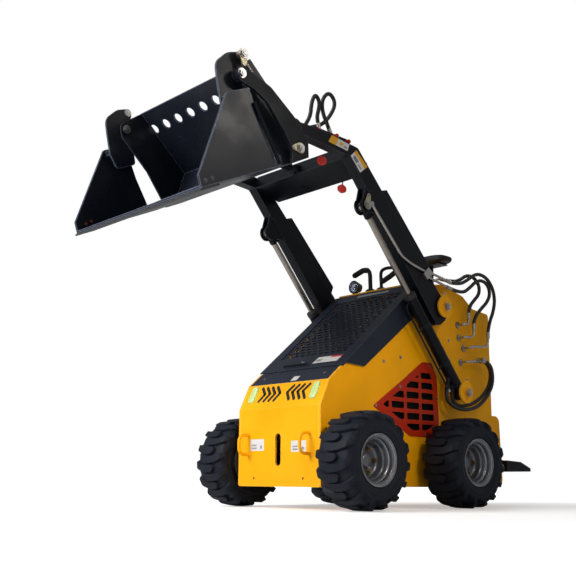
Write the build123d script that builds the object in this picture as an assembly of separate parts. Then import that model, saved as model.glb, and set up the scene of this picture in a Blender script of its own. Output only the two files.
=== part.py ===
from build123d import *
from math import atan2, cos, degrees, hypot, radians, sin
import os

# A stand-on wheeled skid steer loader with its arms raised and its split bucket tipped forward.
# Millimetres. +Z is up, the machine faces -Y and +X is its left side. Heights are above the ground.
# Lengths along Y are counted from the middle of the wheelbase, and the whole machine is moved at
# the end, so that the origin lies on the ground below the middle of its overall length.
# Pieces that come in pairs are modelled on the left side and mirrored.

# ---------------------------------------------------------------- chassis
BODY_HALF = 298.0  # outer face of the side plates
WALL = 12.0  # side, front and rear plates
GROUND_CLEARANCE = 105.0
NOSE_Y = -513.0
NOSE_BEND_Z = 485.0
NOSE_TOP = (-452.0, 612.0)
TOWER_FRONT = (212.0, 1170.0)  # top of the hood's slope
TOWER_PEAK = (430.0, 1196.0)
TOWER_SHOULDER = (608.0, 1154.0)
TOWER_STEP = (695.0, 1093.0)
TAIL_Y = 844.0
TAIL_TOP_Z = 1078.0
COVER = 8.0  # top cover and hood strip

# ---------------------------------------------------------------- hood
STRIP_LENGTH = 107.0  # fixed strip at the foot of the slope
HOOD_START = 113.0  # along the slope, from its foot
HOOD_GAP = 3.0  # between the hood's rear edge and its hinge line
HOOD_SKIN = 6.0
HOOD_SEAT = 2.0  # hood's underside lies this far below the slope line
HOOD_SIDE_GAP = 5.0
SKIRT = 4.0
MESH_INSET = 62.0
MESH_THICK = 2.5
SKIRT_EDGE = [(-339, 696), (-216, 689), (131, 951), (199, 1006)]

# ---------------------------------------------------------------- wheels
WHEELBASE = 757.0
TYRE_R = 228.6
TYRE_WIDTH = 216.0
WHEEL_CENTRE_X = 444.0
BEAD_R = 101.6
FLANGE_R = 122.0
RIM_HALF = 98.0
RIM_WALL = 6.0
DISC_X = 388.0  # inner face of the wheel's disc
DISC_THICK = 9.0
HUB_R = 44.0
SHAFT_R = 22.0
RUNNING_GAP = 0.06  # radial clearance of every pin in its bore
MOTOR_R = 62.0
MOTOR_LENGTH = 130.0

# ---------------------------------------------------------------- boom
PIVOT = (311.0, 1042.0)
PIVOT_PIN_R = 24.0
ARM_BOSS_R = 46.0
ARM_IN = 332.0  # inner and outer faces of the arms
ARM_OUT = 389.0
PLATE_OUT = 326.0  # outer face of the bosses that the arms run beside
ARM_FOOT = (228.7, 969.0)  # lower end of the arm's front edge
ELBOW_LOW = (-397.0, 1717.0)
ELBOW_HIGH = (-337.0, 1772.0)
WRIST_HIGH = (-610.0, 1801.0)
EYE_R = 32.0
ROD_PIN = (-273.0, 1487.0)  # lift rod's eye, raised
ROD_EAR_R = 42.0
ROD_EAR_THICK = 8.0
BEAM_LOW_FRONT = (-400.0, 1715.0)
BEAM_LOW_REAR = (-225.0, 1670.0)
BEAM_DEPTH = 70.0
ARM_BACK_FOOT = (333.0, 1062.0)  # lower end of the arm's back edge
GUARD_FROM = 191.0  # along the arm's back edge
GUARD_TO = 723.0
GUARD_DEPTH = 45.0
GUARD_X = (340.0, 381.0)

# ---------------------------------------------------------------- lift cylinders
CYLINDER_X = 360.5  # centre plane, the same as the arm's
LIFT_PIN = (474.0, 597.0)
LIFT_PIN_R = 18.0
LIFT_BARREL_R = 32.5
LIFT_BORE_R = 26.0
LIFT_ROD_R = 16.0
LIFT_BARREL_LENGTH = 637.0  # from its pin to the gland's face
LIFT_BARREL_EYE_R = 36.0
LIFT_EYE_R = 28.0
LIFT_EYE_WIDTH = 30.0
LIFT_OVERLAP = 70.0  # rod left in the barrel when it is fully out
KEEPER_IN = 397.0  # inner face of the pins' keeper plates
KEEPER_THICK = 10.0
LIFT_PORTS = [{"along": 90.0, "end": (402.0, 598.0)}, {"along": 135.0, "end": (358.0, 602.0)}]

# ---------------------------------------------------------------- bucket
# Bucket points are (forward along the floor, up from the floor) from its rear bottom corner.
BUCKET_CORNER = (-790.0, 1580.0)
BUCKET_TIP_DEG = 24.6  # the floor slopes down towards the lip
TILT_PIN = (-92.0, 165.0)
TILT_PIN_R = 14.0
TILT_LEVER = (70.0, 75.0)  # tilt cylinder's pin from the hinge: length, and degrees above forward
LIP = (659.0, 0.0)
BLADE_TOP = (109.0, 495.0)
BLADE_BEND = (-43.0, 142.0)
BLADE_LOW = (38.0, 54.0)
BLADE_TOE = (155.0, 38.0)
SHEET = 8.0
PAD_THICK = 10.0  # hitch plate behind the blade
PAD_HALF = 300.0
BLADE_HALF = 428.0  # inner face of the blade's end plates
EAR_IN = 440.0
EAR_THICK = 10.0
CLAM_HALF = 500.0
CLAM_WALL = 12.0
CLAM_PIN = (238.0, 430.0)
CLAM_PIN_R = 16.0
CLAM_TOP_PIN = (180.0, 515.0)
CLAM_LOW_PIN = (28.0, 52.0)
CLAM_PULL_R = 11.0
CLAM_BARREL_R = 15.0
CLAM_ROD_R = 8.0
CLAM_CYLINDER_X = 468.0
CLAM_BARREL_LENGTH = 330.0
CLAM_EYE_WIDTH = 28.0
LINK_IN = 486.0
LINK_THICK = 12.0
HOLE_PITCH = 103.0
HOLE_R = 25.0
HOLE_UP = 283.0  # along the blade's upper plate, from its bend

# ---------------------------------------------------------------- tilt cylinder
TILT_BASE = (-424.0, 1735.0)
TILT_BARREL_R = 25.0
TILT_BORE_R = 20.0
TILT_ROD_R = 10.0
TILT_BARREL_LENGTH = 250.0
TILT_EYE_R = 18.0
TILT_ROD_LENGTH = 234.0
TILT_PISTON_AT = 182.0  # from the base pin, with the arms raised
TILT_PISTON_LENGTH = 20.0
LUG_HALF = 16.0  # half the gap between a pair of cylinder lugs
LUG_THICK = 10.0
HITCH_LUG_IN = 29.0  # the hitch's lugs pass outside the cylinder's barrel

# ---------------------------------------------------------------- operator's end
PLATFORM = [(1031, 254), (1166, 247), (1267, 211), (1265, 192), (1026, 189)]
PLATFORM_HALF = 262.0
HOUSING_REAR_Y = 978.0
HOUSING_TOP_Z = 502.0


# ---------------------------------------------------------------- helpers
def plate(outline, x_low, x_high):
    """A flat piece. Its outline's corners are (y, z) or (y, z, corner radius)."""
    points = [(x_low, p[0], p[1]) for p in outline]
    radii = [p[2] if len(p) > 2 else 0 for p in outline]
    path = FilletPolyline(*points, radius=radii, close=True)
    return extrude(make_face(path), amount=x_high - x_low, dir=(1, 0, 0))


def disc(at, radius, x_low, x_high):
    """A cylinder along X at the point (y, z)."""
    base = Plane(origin=(x_low, at[0], at[1]), z_dir=(1, 0, 0))
    return extrude(base * Circle(radius), amount=x_high - x_low)


def bar(start, end, radius):
    """A round bar between two points in space."""
    run = Vector(*end) - Vector(*start)
    return extrude(Plane(origin=start, z_dir=run) * Circle(radius), amount=run.length)


def block(x_low, x_high, y_low, y_high, z_low, z_high):
    size = (x_high - x_low, y_high - y_low, z_high - z_low)
    middle = ((x_low + x_high) / 2, (y_low + y_high) / 2, (z_low + z_high) / 2)
    return Pos(*middle) * Box(*size)


def both_sides(piece):
    return Part() + [piece, mirror(piece, about=Plane.YZ)]


def toward(start, end, length):
    """The point that lies so far from start on the way to end, in Y-Z."""
    reach = hypot(end[0] - start[0], end[1] - start[1])
    return (
        start[0] + (end[0] - start[0]) * length / reach,
        start[1] + (end[1] - start[1]) * length / reach,
    )


def offset_left(start, end, at, distance):
    """A point at a length from start towards end, moved to the left of that direction."""
    y, z = toward(start, end, at)
    reach = hypot(end[0] - start[0], end[1] - start[1])
    return (y - (end[1] - start[1]) * distance / reach, z + (end[0] - start[0]) * distance / reach)


def slope(along, lift):
    """A point on the hood's slope: so far up from its foot, and so far out of its surface."""
    return offset_left(NOSE_TOP, TOWER_FRONT, along, lift)


def bucket_point(forward, up):
    tip = radians(BUCKET_TIP_DEG)
    y = BUCKET_CORNER[0] - forward * cos(tip) - up * sin(tip)
    z = BUCKET_CORNER[1] - forward * sin(tip) + up * cos(tip)
    return (y, z)


def bucket_plate(outline, x_low, x_high):
    """A plate whose outline is in the bucket's own coordinates."""
    return plate([(*bucket_point(*p[:2]), *p[2:]) for p in outline], x_low, x_high)


def smooth_path(points, share=0.45):
    """Straight runs joined by the largest arcs that the shorter run at each corner allows."""
    vectors = [Vector(*p) for p in points]
    radii = []
    for before, at, after in zip(vectors, vectors[1:], vectors[2:]):
        half_turn = radians((at - before).get_angle(after - at)) / 2
        reach = min((at - before).length, (after - at).length)
        radii.append(share * reach * cos(half_turn) / sin(half_turn))
    return FilletPolyline(*points, radius=radii)


def hose(points, radius):
    """A round hose along a route of points in space."""
    path = smooth_path(points)
    tube = sweep(Plane(origin=path @ 0, z_dir=path % 0) * Circle(radius), path=path)
    return tube


# ---------------------------------------------------------------- places worked out from the sizes
SLOPE_LENGTH = hypot(TOWER_FRONT[0] - NOSE_TOP[0], TOWER_FRONT[1] - NOSE_TOP[1])
HOOD_END = SLOPE_LENGTH - HOOD_GAP
INNER_HALF = BODY_HALF - WALL
AXLE_Y = WHEELBASE / 2
AXLES = {"front": (-AXLE_Y, TYRE_R), "rear": (AXLE_Y, TYRE_R)}
TILT_HINGE = bucket_point(*TILT_PIN)
TILT_ROD_PIN = bucket_point(
    TILT_PIN[0] + TILT_LEVER[0] * cos(radians(TILT_LEVER[1])),
    TILT_PIN[1] + TILT_LEVER[0] * sin(radians(TILT_LEVER[1])),
)
CLAM_HINGE = bucket_point(*CLAM_PIN)
CUTTING_EDGE_TIP = (LIP[0] + 14, -6.0)
FRONT_Y = bucket_point(*CUTTING_EDGE_TIP)[0]
REAR_Y = max(y for y, z in PLATFORM)
ORIGIN_Y = (FRONT_Y + REAR_Y) / 2
ARM_MIDDLE = (ARM_IN + ARM_OUT) / 2
BLADE_LENGTH = hypot(BLADE_TOP[0] - BLADE_BEND[0], BLADE_TOP[1] - BLADE_BEND[1])

nodes = {}


# ---------------------------------------------------------------- chassis plates
def side_plate():
    outline = [
        (NOSE_Y, GROUND_CLEARANCE, 10),
        (NOSE_Y, NOSE_BEND_Z),
        NOSE_TOP,
        slope(STRIP_LENGTH, 0),
        slope(STRIP_LENGTH, -COVER),
        slope(SLOPE_LENGTH - COVER, -COVER),
        TOWER_FRONT,
        (*TOWER_PEAK, 30),
        (*TOWER_SHOULDER, 30),
        (*TOWER_STEP, 30),
        (TAIL_Y, TAIL_TOP_Z, 20),
        (TAIL_Y, GROUND_CLEARANCE, 20),
    ]
    window = [
        (-95, 505, 20),
        (75, 612, 20),
        (228, 705, 20),
        (305, 705, 20),
        (330, 655, 20),
        (338, 470, 20),
        (335, 415, 20),
        (270, 385, 20),
        (145, 385, 20),
    ]
    return plate(outline, INNER_HALF, BODY_HALF) - plate(window, INNER_HALF - 1, BODY_HALF + 1)


nodes["side_plate_left"] = side_plate()
nodes["side_plate_right"] = mirror(nodes["side_plate_left"], about=Plane.YZ)


def front_plate():
    shell = plate(
        [
            (NOSE_Y, GROUND_CLEARANCE),
            (NOSE_Y, NOSE_BEND_Z),
            NOSE_TOP,
            (NOSE_TOP[0] + WALL, NOSE_TOP[1] - COVER),
            (NOSE_Y + WALL, NOSE_BEND_Z - 2),
            (NOSE_Y + WALL, GROUND_CLEARANCE),
        ],
        -INNER_HALF,
        INNER_HALF,
    )
    face = Plane(origin=(0, NOSE_Y, 0), x_dir=(1, 0, 0), z_dir=(0, -1, 0))
    slot = extrude(face * Pos(0, 282) * SlotOverall(158, 42, rotation=90), amount=WALL * 2, both=True)
    holes = [extrude(face * Pos(side * 178, 145) * Circle(7), amount=WALL * 2, both=True) for side in (-1, 1)]
    run = Vector(0, NOSE_TOP[0] - NOSE_Y, NOSE_TOP[1] - NOSE_BEND_Z)
    brow = Plane(origin=(0, NOSE_Y, NOSE_BEND_Z), x_dir=(1, 0, 0), z_dir=(0, -run.Z, run.Y))
    vents = []
    for side in (-1, 1):
        for step in range(4):
            # each vent is a bent slot that points to the middle
            tip = 26 + 38 * step
            corner = (side * tip, 84)
            for end in ((side * (tip + 33), 120), (side * (tip + 29), 45)):
                length = hypot(end[0] - corner[0], end[1] - corner[1])
                turn = degrees(atan2(end[1] - corner[1], end[0] - corner[0]))
                middle = Pos((corner[0] + end[0]) / 2, (corner[1] + end[1]) / 2)
                leg = brow * middle * SlotCenterToCenter(length, 12, rotation=turn)
                vents.append(extrude(leg, amount=WALL * 2, both=True))
    return shell - slot - holes - vents


nodes["front_plate"] = front_plate()
nodes["belly_pan"] = block(
    -INNER_HALF, INNER_HALF, NOSE_Y + WALL, TAIL_Y - WALL, GROUND_CLEARANCE, GROUND_CLEARANCE + WALL
)
nodes["rear_panel"] = block(-INNER_HALF, INNER_HALF, TAIL_Y - WALL, TAIL_Y, GROUND_CLEARANCE, TAIL_TOP_Z - COVER)
nodes["hood_strip"] = plate(
    [NOSE_TOP, slope(STRIP_LENGTH, 0), slope(STRIP_LENGTH, -COVER), slope(WALL, -COVER)],
    -INNER_HALF,
    INNER_HALF,
)
nodes["top_cover"] = plate(
    [
        (TOWER_FRONT[0] + 8, TOWER_FRONT[1] - 1),
        (TOWER_PEAK[0], TOWER_PEAK[1] - 3),
        (TOWER_SHOULDER[0] - 2, TOWER_SHOULDER[1] - 3),
        (TOWER_STEP[0] - 2, TOWER_STEP[1] - 3),
        (TAIL_Y, TAIL_TOP_Z - 2),
        (TAIL_Y, TAIL_TOP_Z - COVER),
        (TOWER_STEP[0] - 4, TOWER_STEP[1] - 3 - COVER),
        (TOWER_SHOULDER[0] - 4, TOWER_SHOULDER[1] - 3 - COVER),
        (TOWER_PEAK[0], TOWER_PEAK[1] - 3 - COVER),
        (TOWER_FRONT[0] + 8, TOWER_FRONT[1] - 40),
    ],
    -INNER_HALF,
    INNER_HALF,
)
nodes["engine_block"] = block(-190, 190, -230, 270, GROUND_CLEARANCE + WALL, 640)


# ---------------------------------------------------------------- side grilles
def grille():
    frame = plate(
        [
            (-152, 500, 12),
            (75, 643, 12),
            (234, 749, 12),
            (311, 753, 12),
            (353, 675, 20),
            (362, 457, 20),
            (359, 395, 20),
            (280, 358, 20),
            (129, 359, 20),
        ],
        BODY_HALF,
        BODY_HALF + 4,
    )
    slots = []
    for row in range(6):
        z = 414 + 51 * row
        # the slots stop short of the two slanting edges
        start = max(2 * (505 - (z - 14)), 1.6 * (z + 14 - 505)) - 95 + 10
        for column in range(6):
            y_high = 318 - 80 * column
            y_low = max(y_high - 66, start)
            if y_high - y_low > 22:
                ends = [(y_low, z - 14, 6), (y_low, z + 14, 6), (y_high, z + 14, 6), (y_high, z - 14, 6)]
                slots.append(plate(ends, BODY_HALF - 1, BODY_HALF + 6))
    for slot in slots:
        frame -= slot
    return frame


nodes["side_grilles"] = both_sides(grille())


# ---------------------------------------------------------------- pivot plates, pins and axles
def keeper(at, tip, x_low):
    """A drop-shaped keeper plate round a pin, with its point towards tip."""
    body = disc(at, 56, x_low, x_low + KEEPER_THICK)
    reach = hypot(tip[0] - at[0], tip[1] - at[1])
    touch = 56 * 56 / reach
    half = (56 * 56 - touch * touch) ** 0.5
    point = plate(
        [(*tip, 10), offset_left(at, tip, touch, half), offset_left(at, tip, touch, -half)],
        x_low,
        x_low + KEEPER_THICK,
    )
    return body + point


def pivot_plate():
    doubler = plate(
        [
            (224, 1158, 8),
            (462, 1158, 40),
            (462, 1030, 40),
            (352, 925, 40),
            (290, 925, 30),
            (224, 1000, 20),
        ],
        BODY_HALF,
        PLATE_OUT,
    )
    boss = disc(LIFT_PIN, 48, BODY_HALF, PLATE_OUT)
    bores = disc(PIVOT, PIVOT_PIN_R + RUNNING_GAP, BODY_HALF - 1, PLATE_OUT + 1)
    bores += disc(LIFT_PIN, LIFT_PIN_R + RUNNING_GAP, BODY_HALF - 1, PLATE_OUT + 1)
    return Part() + [doubler, boss] - bores


nodes["pivot_plates"] = both_sides(pivot_plate())


def pin_with_keeper(at, tip, radius, x_low):
    collar = disc(at, radius + 12, ARM_OUT + 1, KEEPER_IN)
    head = disc(at, radius - 2, KEEPER_IN + KEEPER_THICK, KEEPER_IN + KEEPER_THICK + 13)
    return disc(at, radius, x_low, KEEPER_IN) + collar + keeper(at, tip, KEEPER_IN) + head


nodes["boom_pins"] = both_sides(pin_with_keeper(PIVOT, (312, 1130), PIVOT_PIN_R, BODY_HALF + 1))
nodes["cylinder_pins"] = both_sides(pin_with_keeper(LIFT_PIN, (479, 680), LIFT_PIN_R, BODY_HALF + 1))


def wheel_motor(at):
    """A hydraulic motor inside the body, its flange on the side plate, and the shaft it drives."""
    case = disc(at, MOTOR_R, INNER_HALF - MOTOR_LENGTH, INNER_HALF)
    flange = disc(at, 82, BODY_HALF, BODY_HALF + 14)
    nose = disc(at, 50, BODY_HALF + 14, DISC_X - 8)
    shaft = disc(at, SHAFT_R, DISC_X - 8, DISC_X + DISC_THICK + 34)
    return Part() + [case, flange, nose, shaft]


nodes["wheel_motors"] = both_sides(Part() + [wheel_motor(at) for at in AXLES.values()])


# ---------------------------------------------------------------- wheels
def tyre(at):
    half = TYRE_WIDTH / 2
    profile = [
        (BEAD_R, -RIM_HALF + 8, 0),
        (FLANGE_R + 8, -RIM_HALF - 1, 6),
        (TYRE_R * 0.76, -half, 22),
        (TYRE_R - 30, -half + 4, 20),
        (TYRE_R - 4, -half + 22, 14),
        (TYRE_R, 0, 300),
        (TYRE_R - 4, half - 22, 14),
        (TYRE_R - 30, half - 4, 20),
        (TYRE_R * 0.76, half, 22),
        (FLANGE_R + 8, RIM_HALF + 1, 6),
        (BEAD_R, RIM_HALF - 8, 0),
        (BEAD_R + 10, RIM_HALF - 24, 4),
        (BEAD_R + 10, -RIM_HALF + 24, 4),
    ]
    points = [(r, 0, x) for r, x, corner in profile]
    outline = FilletPolyline(*points, radius=[corner for r, x, corner in profile], close=True)
    ring = revolve(make_face(outline), axis=Axis.Z)
    return Pos(WHEEL_CENTRE_X, *at) * Rot(0, 90, 0) * ring


def rim(at):
    edge = RIM_HALF
    seat = BEAD_R - 0.3  # the tyre's bead sits on it
    points = [
        (FLANGE_R, 0, -edge - 2),
        (seat, 0, -edge + 7),
        (seat, 0, -edge + 26),
        (seat - 16, 0, -edge + 42),
        (seat - 16, 0, edge - 42),
        (seat, 0, edge - 26),
        (seat, 0, edge - 7),
        (FLANGE_R, 0, edge + 2),
        (FLANGE_R, 0, edge + 2 + RIM_WALL),
        (seat - RIM_WALL, 0, edge - 2),
        (seat - RIM_WALL, 0, edge - 24),
        (seat - 16 - RIM_WALL, 0, edge - 40),
        (seat - 16 - RIM_WALL, 0, -edge + 40),
        (seat - RIM_WALL, 0, -edge + 24),
        (seat - RIM_WALL, 0, -edge + 2),
        (FLANGE_R, 0, -edge - 2 - RIM_WALL),
    ]
    barrel = revolve(make_face(Polyline(*points, close=True)), axis=Axis.Z)
    barrel = Pos(WHEEL_CENTRE_X, *at) * Rot(0, 90, 0) * barrel
    centre = disc(at, seat - 16 - RIM_WALL / 2, DISC_X, DISC_X + DISC_THICK)
    hub = disc(at, HUB_R, DISC_X + DISC_THICK, DISC_X + DISC_THICK + 26)
    bore = disc(at, SHAFT_R + RUNNING_GAP, DISC_X - 1, DISC_X + DISC_THICK + 60)
    return barrel + centre + hub - bore


for end, at in AXLES.items():
    nodes[f"tyre_{end}_left"] = tyre(at)
    nodes[f"rim_{end}_left"] = rim(at)
    for kind in ("tyre", "rim"):
        nodes[f"{kind}_{end}_right"] = mirror(nodes[f"{kind}_{end}_left"], about=Plane.YZ)


# ---------------------------------------------------------------- hood
def hood():
    half = BODY_HALF + HOOD_SIDE_GAP + SKIRT
    top = HOOD_SKIN - HOOD_SEAT
    skin = plate(
        [slope(HOOD_START, -HOOD_SEAT), slope(HOOD_START, top), slope(HOOD_END, top), slope(HOOD_END, -HOOD_SEAT)],
        -half,
        half,
    )
    window = plate(
        [
            (*slope(HOOD_START + 110, -20), 0),
            (*slope(HOOD_START + 110, 20), 0),
            (*slope(HOOD_END - 70, 20), 0),
            (*slope(HOOD_END - 70, -20), 0),
        ],
        -half + MESH_INSET,
        half - MESH_INSET,
    )
    edge = [slope(HOOD_START, top), *SKIRT_EDGE, slope(HOOD_END - 4, top)]
    skirt = plate(edge, half - SKIRT, half)
    return skin - window + skirt + mirror(skirt, about=Plane.YZ)


nodes["hood"] = hood()
nodes["hood_mesh"] = plate(
    [
        slope(HOOD_START + 100, -HOOD_SEAT - MESH_THICK),
        slope(HOOD_START + 100, -HOOD_SEAT),
        slope(HOOD_END - 60, -HOOD_SEAT),
        slope(HOOD_END - 60, -HOOD_SEAT - MESH_THICK),
    ],
    -BODY_HALF + MESH_INSET - 8,
    BODY_HALF - MESH_INSET + 8,
)

# ---------------------------------------------------------------- boom arms
WRIST_EYE = TILT_HINGE
arm_outline = [
    (*ARM_FOOT, 20),
    (263, 930, 40),
    (322, 968, 50),
    (366, 1022, 40),
    (*ARM_BACK_FOOT, 30),
    (*ELBOW_HIGH, 30),
    WRIST_HIGH,
    (WRIST_EYE[0], WRIST_EYE[1] + EYE_R),
    (WRIST_EYE[0], WRIST_EYE[1] - EYE_R),
    (WRIST_EYE[0] + 55, WRIST_EYE[1] - EYE_R + 8),
    (*ELBOW_LOW, 20),
]
arm = plate(arm_outline, ARM_IN, ARM_OUT) + disc(WRIST_EYE, EYE_R, ARM_IN, ARM_OUT)
arm += disc(PIVOT, ARM_BOSS_R, ARM_IN, ARM_OUT)
arm -= disc(PIVOT, PIVOT_PIN_R + RUNNING_GAP, ARM_IN - 1, ARM_OUT + 1)
arm -= disc(WRIST_EYE, TILT_PIN_R + RUNNING_GAP, ARM_IN - 1, ARM_OUT + 1)
nodes["arm_left"] = arm
nodes["arm_right"] = mirror(arm, about=Plane.YZ)

beam_outline = [
    BEAM_LOW_FRONT,
    BEAM_LOW_REAR,
    offset_left(BEAM_LOW_REAR, BEAM_LOW_FRONT, 0, -BEAM_DEPTH),
    offset_left(BEAM_LOW_REAR, BEAM_LOW_FRONT, 180, -BEAM_DEPTH),
]
beam = plate(beam_outline, -ARM_IN, ARM_IN)
beam_lug = plate(
    [
        (TILT_BASE[0] - 20, TILT_BASE[1] - 16, 16),
        (TILT_BASE[0] - 20, TILT_BASE[1] + 16, 16),
        (BEAM_LOW_FRONT[0] + 14, TILT_BASE[1] + 26),
        (BEAM_LOW_FRONT[0] + 14, BEAM_LOW_FRONT[1] + 5),
    ],
    LUG_HALF,
    LUG_HALF + LUG_THICK,
)
nodes["cross_beam"] = beam + beam_lug + mirror(beam_lug, about=Plane.YZ)

guard = plate(
    [
        offset_left(ARM_BACK_FOOT, ELBOW_HIGH, GUARD_FROM, 0),
        offset_left(ARM_BACK_FOOT, ELBOW_HIGH, GUARD_TO, 0),
        (*offset_left(ARM_BACK_FOOT, ELBOW_HIGH, GUARD_TO - 22, -GUARD_DEPTH), 10),
        (*offset_left(ARM_BACK_FOOT, ELBOW_HIGH, GUARD_FROM + 22, -GUARD_DEPTH), 10),
    ],
    *GUARD_X,
)
nodes["arm_guards"] = both_sides(guard)


def rod_ear(x_low):
    reach = hypot(ELBOW_LOW[0] - ARM_FOOT[0], ELBOW_LOW[1] - ARM_FOOT[1])
    run = ((ROD_PIN[0] - ARM_FOOT[0]) * (ELBOW_LOW[0] - ARM_FOOT[0])
           + (ROD_PIN[1] - ARM_FOOT[1]) * (ELBOW_LOW[1] - ARM_FOOT[1])) / reach
    foot = [toward(ARM_FOOT, ELBOW_LOW, run - 80), toward(ARM_FOOT, ELBOW_LOW, run + 80)]
    edge = toward(ARM_FOOT, ELBOW_LOW, run)
    depth = hypot(ROD_PIN[0] - edge[0], ROD_PIN[1] - edge[1])
    side = [offset_left(ARM_FOOT, ELBOW_LOW, run + along, depth) for along in (ROD_EAR_R, -ROD_EAR_R)]
    web = plate([*foot, *side], x_low, x_low + ROD_EAR_THICK)
    return web + disc(ROD_PIN, ROD_EAR_R, x_low, x_low + ROD_EAR_THICK)


ears = Part() + [rod_ear(ARM_IN + 4), rod_ear(ARM_OUT - 4 - ROD_EAR_THICK)]
nodes["rod_ears"] = both_sides(ears)


# ---------------------------------------------------------------- hydraulic cylinders
def cylinder(base, rod_pin, x, barrel_r, bore_r, rod_r, barrel_length, overlap, barrel_eye, rod_eye):
    """Barrel and rod of a cylinder in the plane x, as it stands.

    barrel_eye and rod_eye are (outer radius, width, bore radius), with a bore of 0 for a blind eye.
    """
    reach = hypot(rod_pin[0] - base[0], rod_pin[1] - base[1])
    start = toward(base, rod_pin, barrel_eye[0] + 4)
    end = toward(base, rod_pin, barrel_length)
    tube = bar((x, *start), (x, *end), barrel_r)
    tube += bar((x, *toward(base, rod_pin, barrel_eye[0] * 0.6)), (x, *start), barrel_eye[1] / 2 - 1)
    tube += disc(base, barrel_eye[0], x - barrel_eye[1] / 2, x + barrel_eye[1] / 2)
    chamber_from = (x, *toward(base, rod_pin, barrel_eye[0] + 14))
    chamber = bar(chamber_from, (x, *toward(base, rod_pin, barrel_length - 30)), bore_r)
    gland = bar((x, *toward(base, rod_pin, barrel_length - 40)), (x, *toward(base, rod_pin, barrel_length + 1)),
                rod_r + RUNNING_GAP)
    tube = tube - chamber - gland
    if barrel_eye[2]:
        tube -= disc(base, barrel_eye[2], x - barrel_eye[1], x + barrel_eye[1])
    inner = min(barrel_length - overlap, reach - 20)
    rod = bar((x, *toward(base, rod_pin, inner)), (x, *toward(base, rod_pin, reach - rod_eye[0] * 0.6)), rod_r)
    rod += disc(rod_pin, rod_eye[0], x - rod_eye[1] / 2, x + rod_eye[1] / 2)
    if rod_eye[2]:
        rod -= disc(rod_pin, rod_eye[2], x - rod_eye[1], x + rod_eye[1])
    return tube, rod


lift_barrel, lift_rod = cylinder(
    LIFT_PIN, ROD_PIN, CYLINDER_X, LIFT_BARREL_R, LIFT_BORE_R, LIFT_ROD_R, LIFT_BARREL_LENGTH, LIFT_OVERLAP,
    (LIFT_BARREL_EYE_R, 50, LIFT_PIN_R + RUNNING_GAP), (LIFT_EYE_R, LIFT_EYE_WIDTH, 0),
)
for port in LIFT_PORTS:
    inside = toward(LIFT_PIN, ROD_PIN, port["along"])
    neck = bar((CYLINDER_X, *inside), (CYLINDER_X, *port["end"]), 11)
    lift_barrel += neck - bar((CYLINDER_X, *LIFT_PIN), (CYLINDER_X, *ROD_PIN), LIFT_BARREL_R - 2)
nodes["lift_barrels"] = both_sides(lift_barrel)
nodes["lift_rods"] = both_sides(lift_rod)

tilt_reach = hypot(TILT_ROD_PIN[0] - TILT_BASE[0], TILT_ROD_PIN[1] - TILT_BASE[1])
tilt_barrel, tilt_rod = cylinder(
    TILT_BASE, TILT_ROD_PIN, 0, TILT_BARREL_R, TILT_BORE_R, TILT_ROD_R, TILT_BARREL_LENGTH,
    TILT_BARREL_LENGTH - (tilt_reach - TILT_ROD_LENGTH),
    (22, 26, 10 + RUNNING_GAP), (TILT_EYE_R, 2 * HITCH_LUG_IN - 2, 0),
)
nodes["tilt_barrel"] = tilt_barrel
nodes["tilt_rod"] = tilt_rod
nodes["tilt_piston"] = bar(
    (0, *toward(TILT_BASE, TILT_ROD_PIN, TILT_PISTON_AT)),
    (0, *toward(TILT_BASE, TILT_ROD_PIN, TILT_PISTON_AT + TILT_PISTON_LENGTH)),
    TILT_BORE_R - RUNNING_GAP,
) - bar((0, *TILT_BASE), (0, *TILT_ROD_PIN), TILT_ROD_R + RUNNING_GAP)
nodes["cross_beam"] += disc(TILT_BASE, 10, -LUG_HALF - LUG_THICK - 6, LUG_HALF + LUG_THICK + 6)

clam_top, clam_low = bucket_point(*CLAM_TOP_PIN), bucket_point(*CLAM_LOW_PIN)
clam_barrel, clam_rod = cylinder(
    clam_low, clam_top, CLAM_CYLINDER_X, CLAM_BARREL_R, 11, CLAM_ROD_R, CLAM_BARREL_LENGTH, 60,
    (20, CLAM_EYE_WIDTH, CLAM_PULL_R + RUNNING_GAP), (20, CLAM_EYE_WIDTH, 0),
)
nodes["clam_barrels"] = both_sides(clam_barrel)
nodes["clam_rods"] = both_sides(clam_rod)


# ---------------------------------------------------------------- bucket: blade, hitch and links
def behind_blade(up, behind):
    """A bucket point so far up the blade's upper plate from its bend, and so far behind its face."""
    return offset_left(BLADE_BEND, BLADE_TOP, up, behind)


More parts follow.
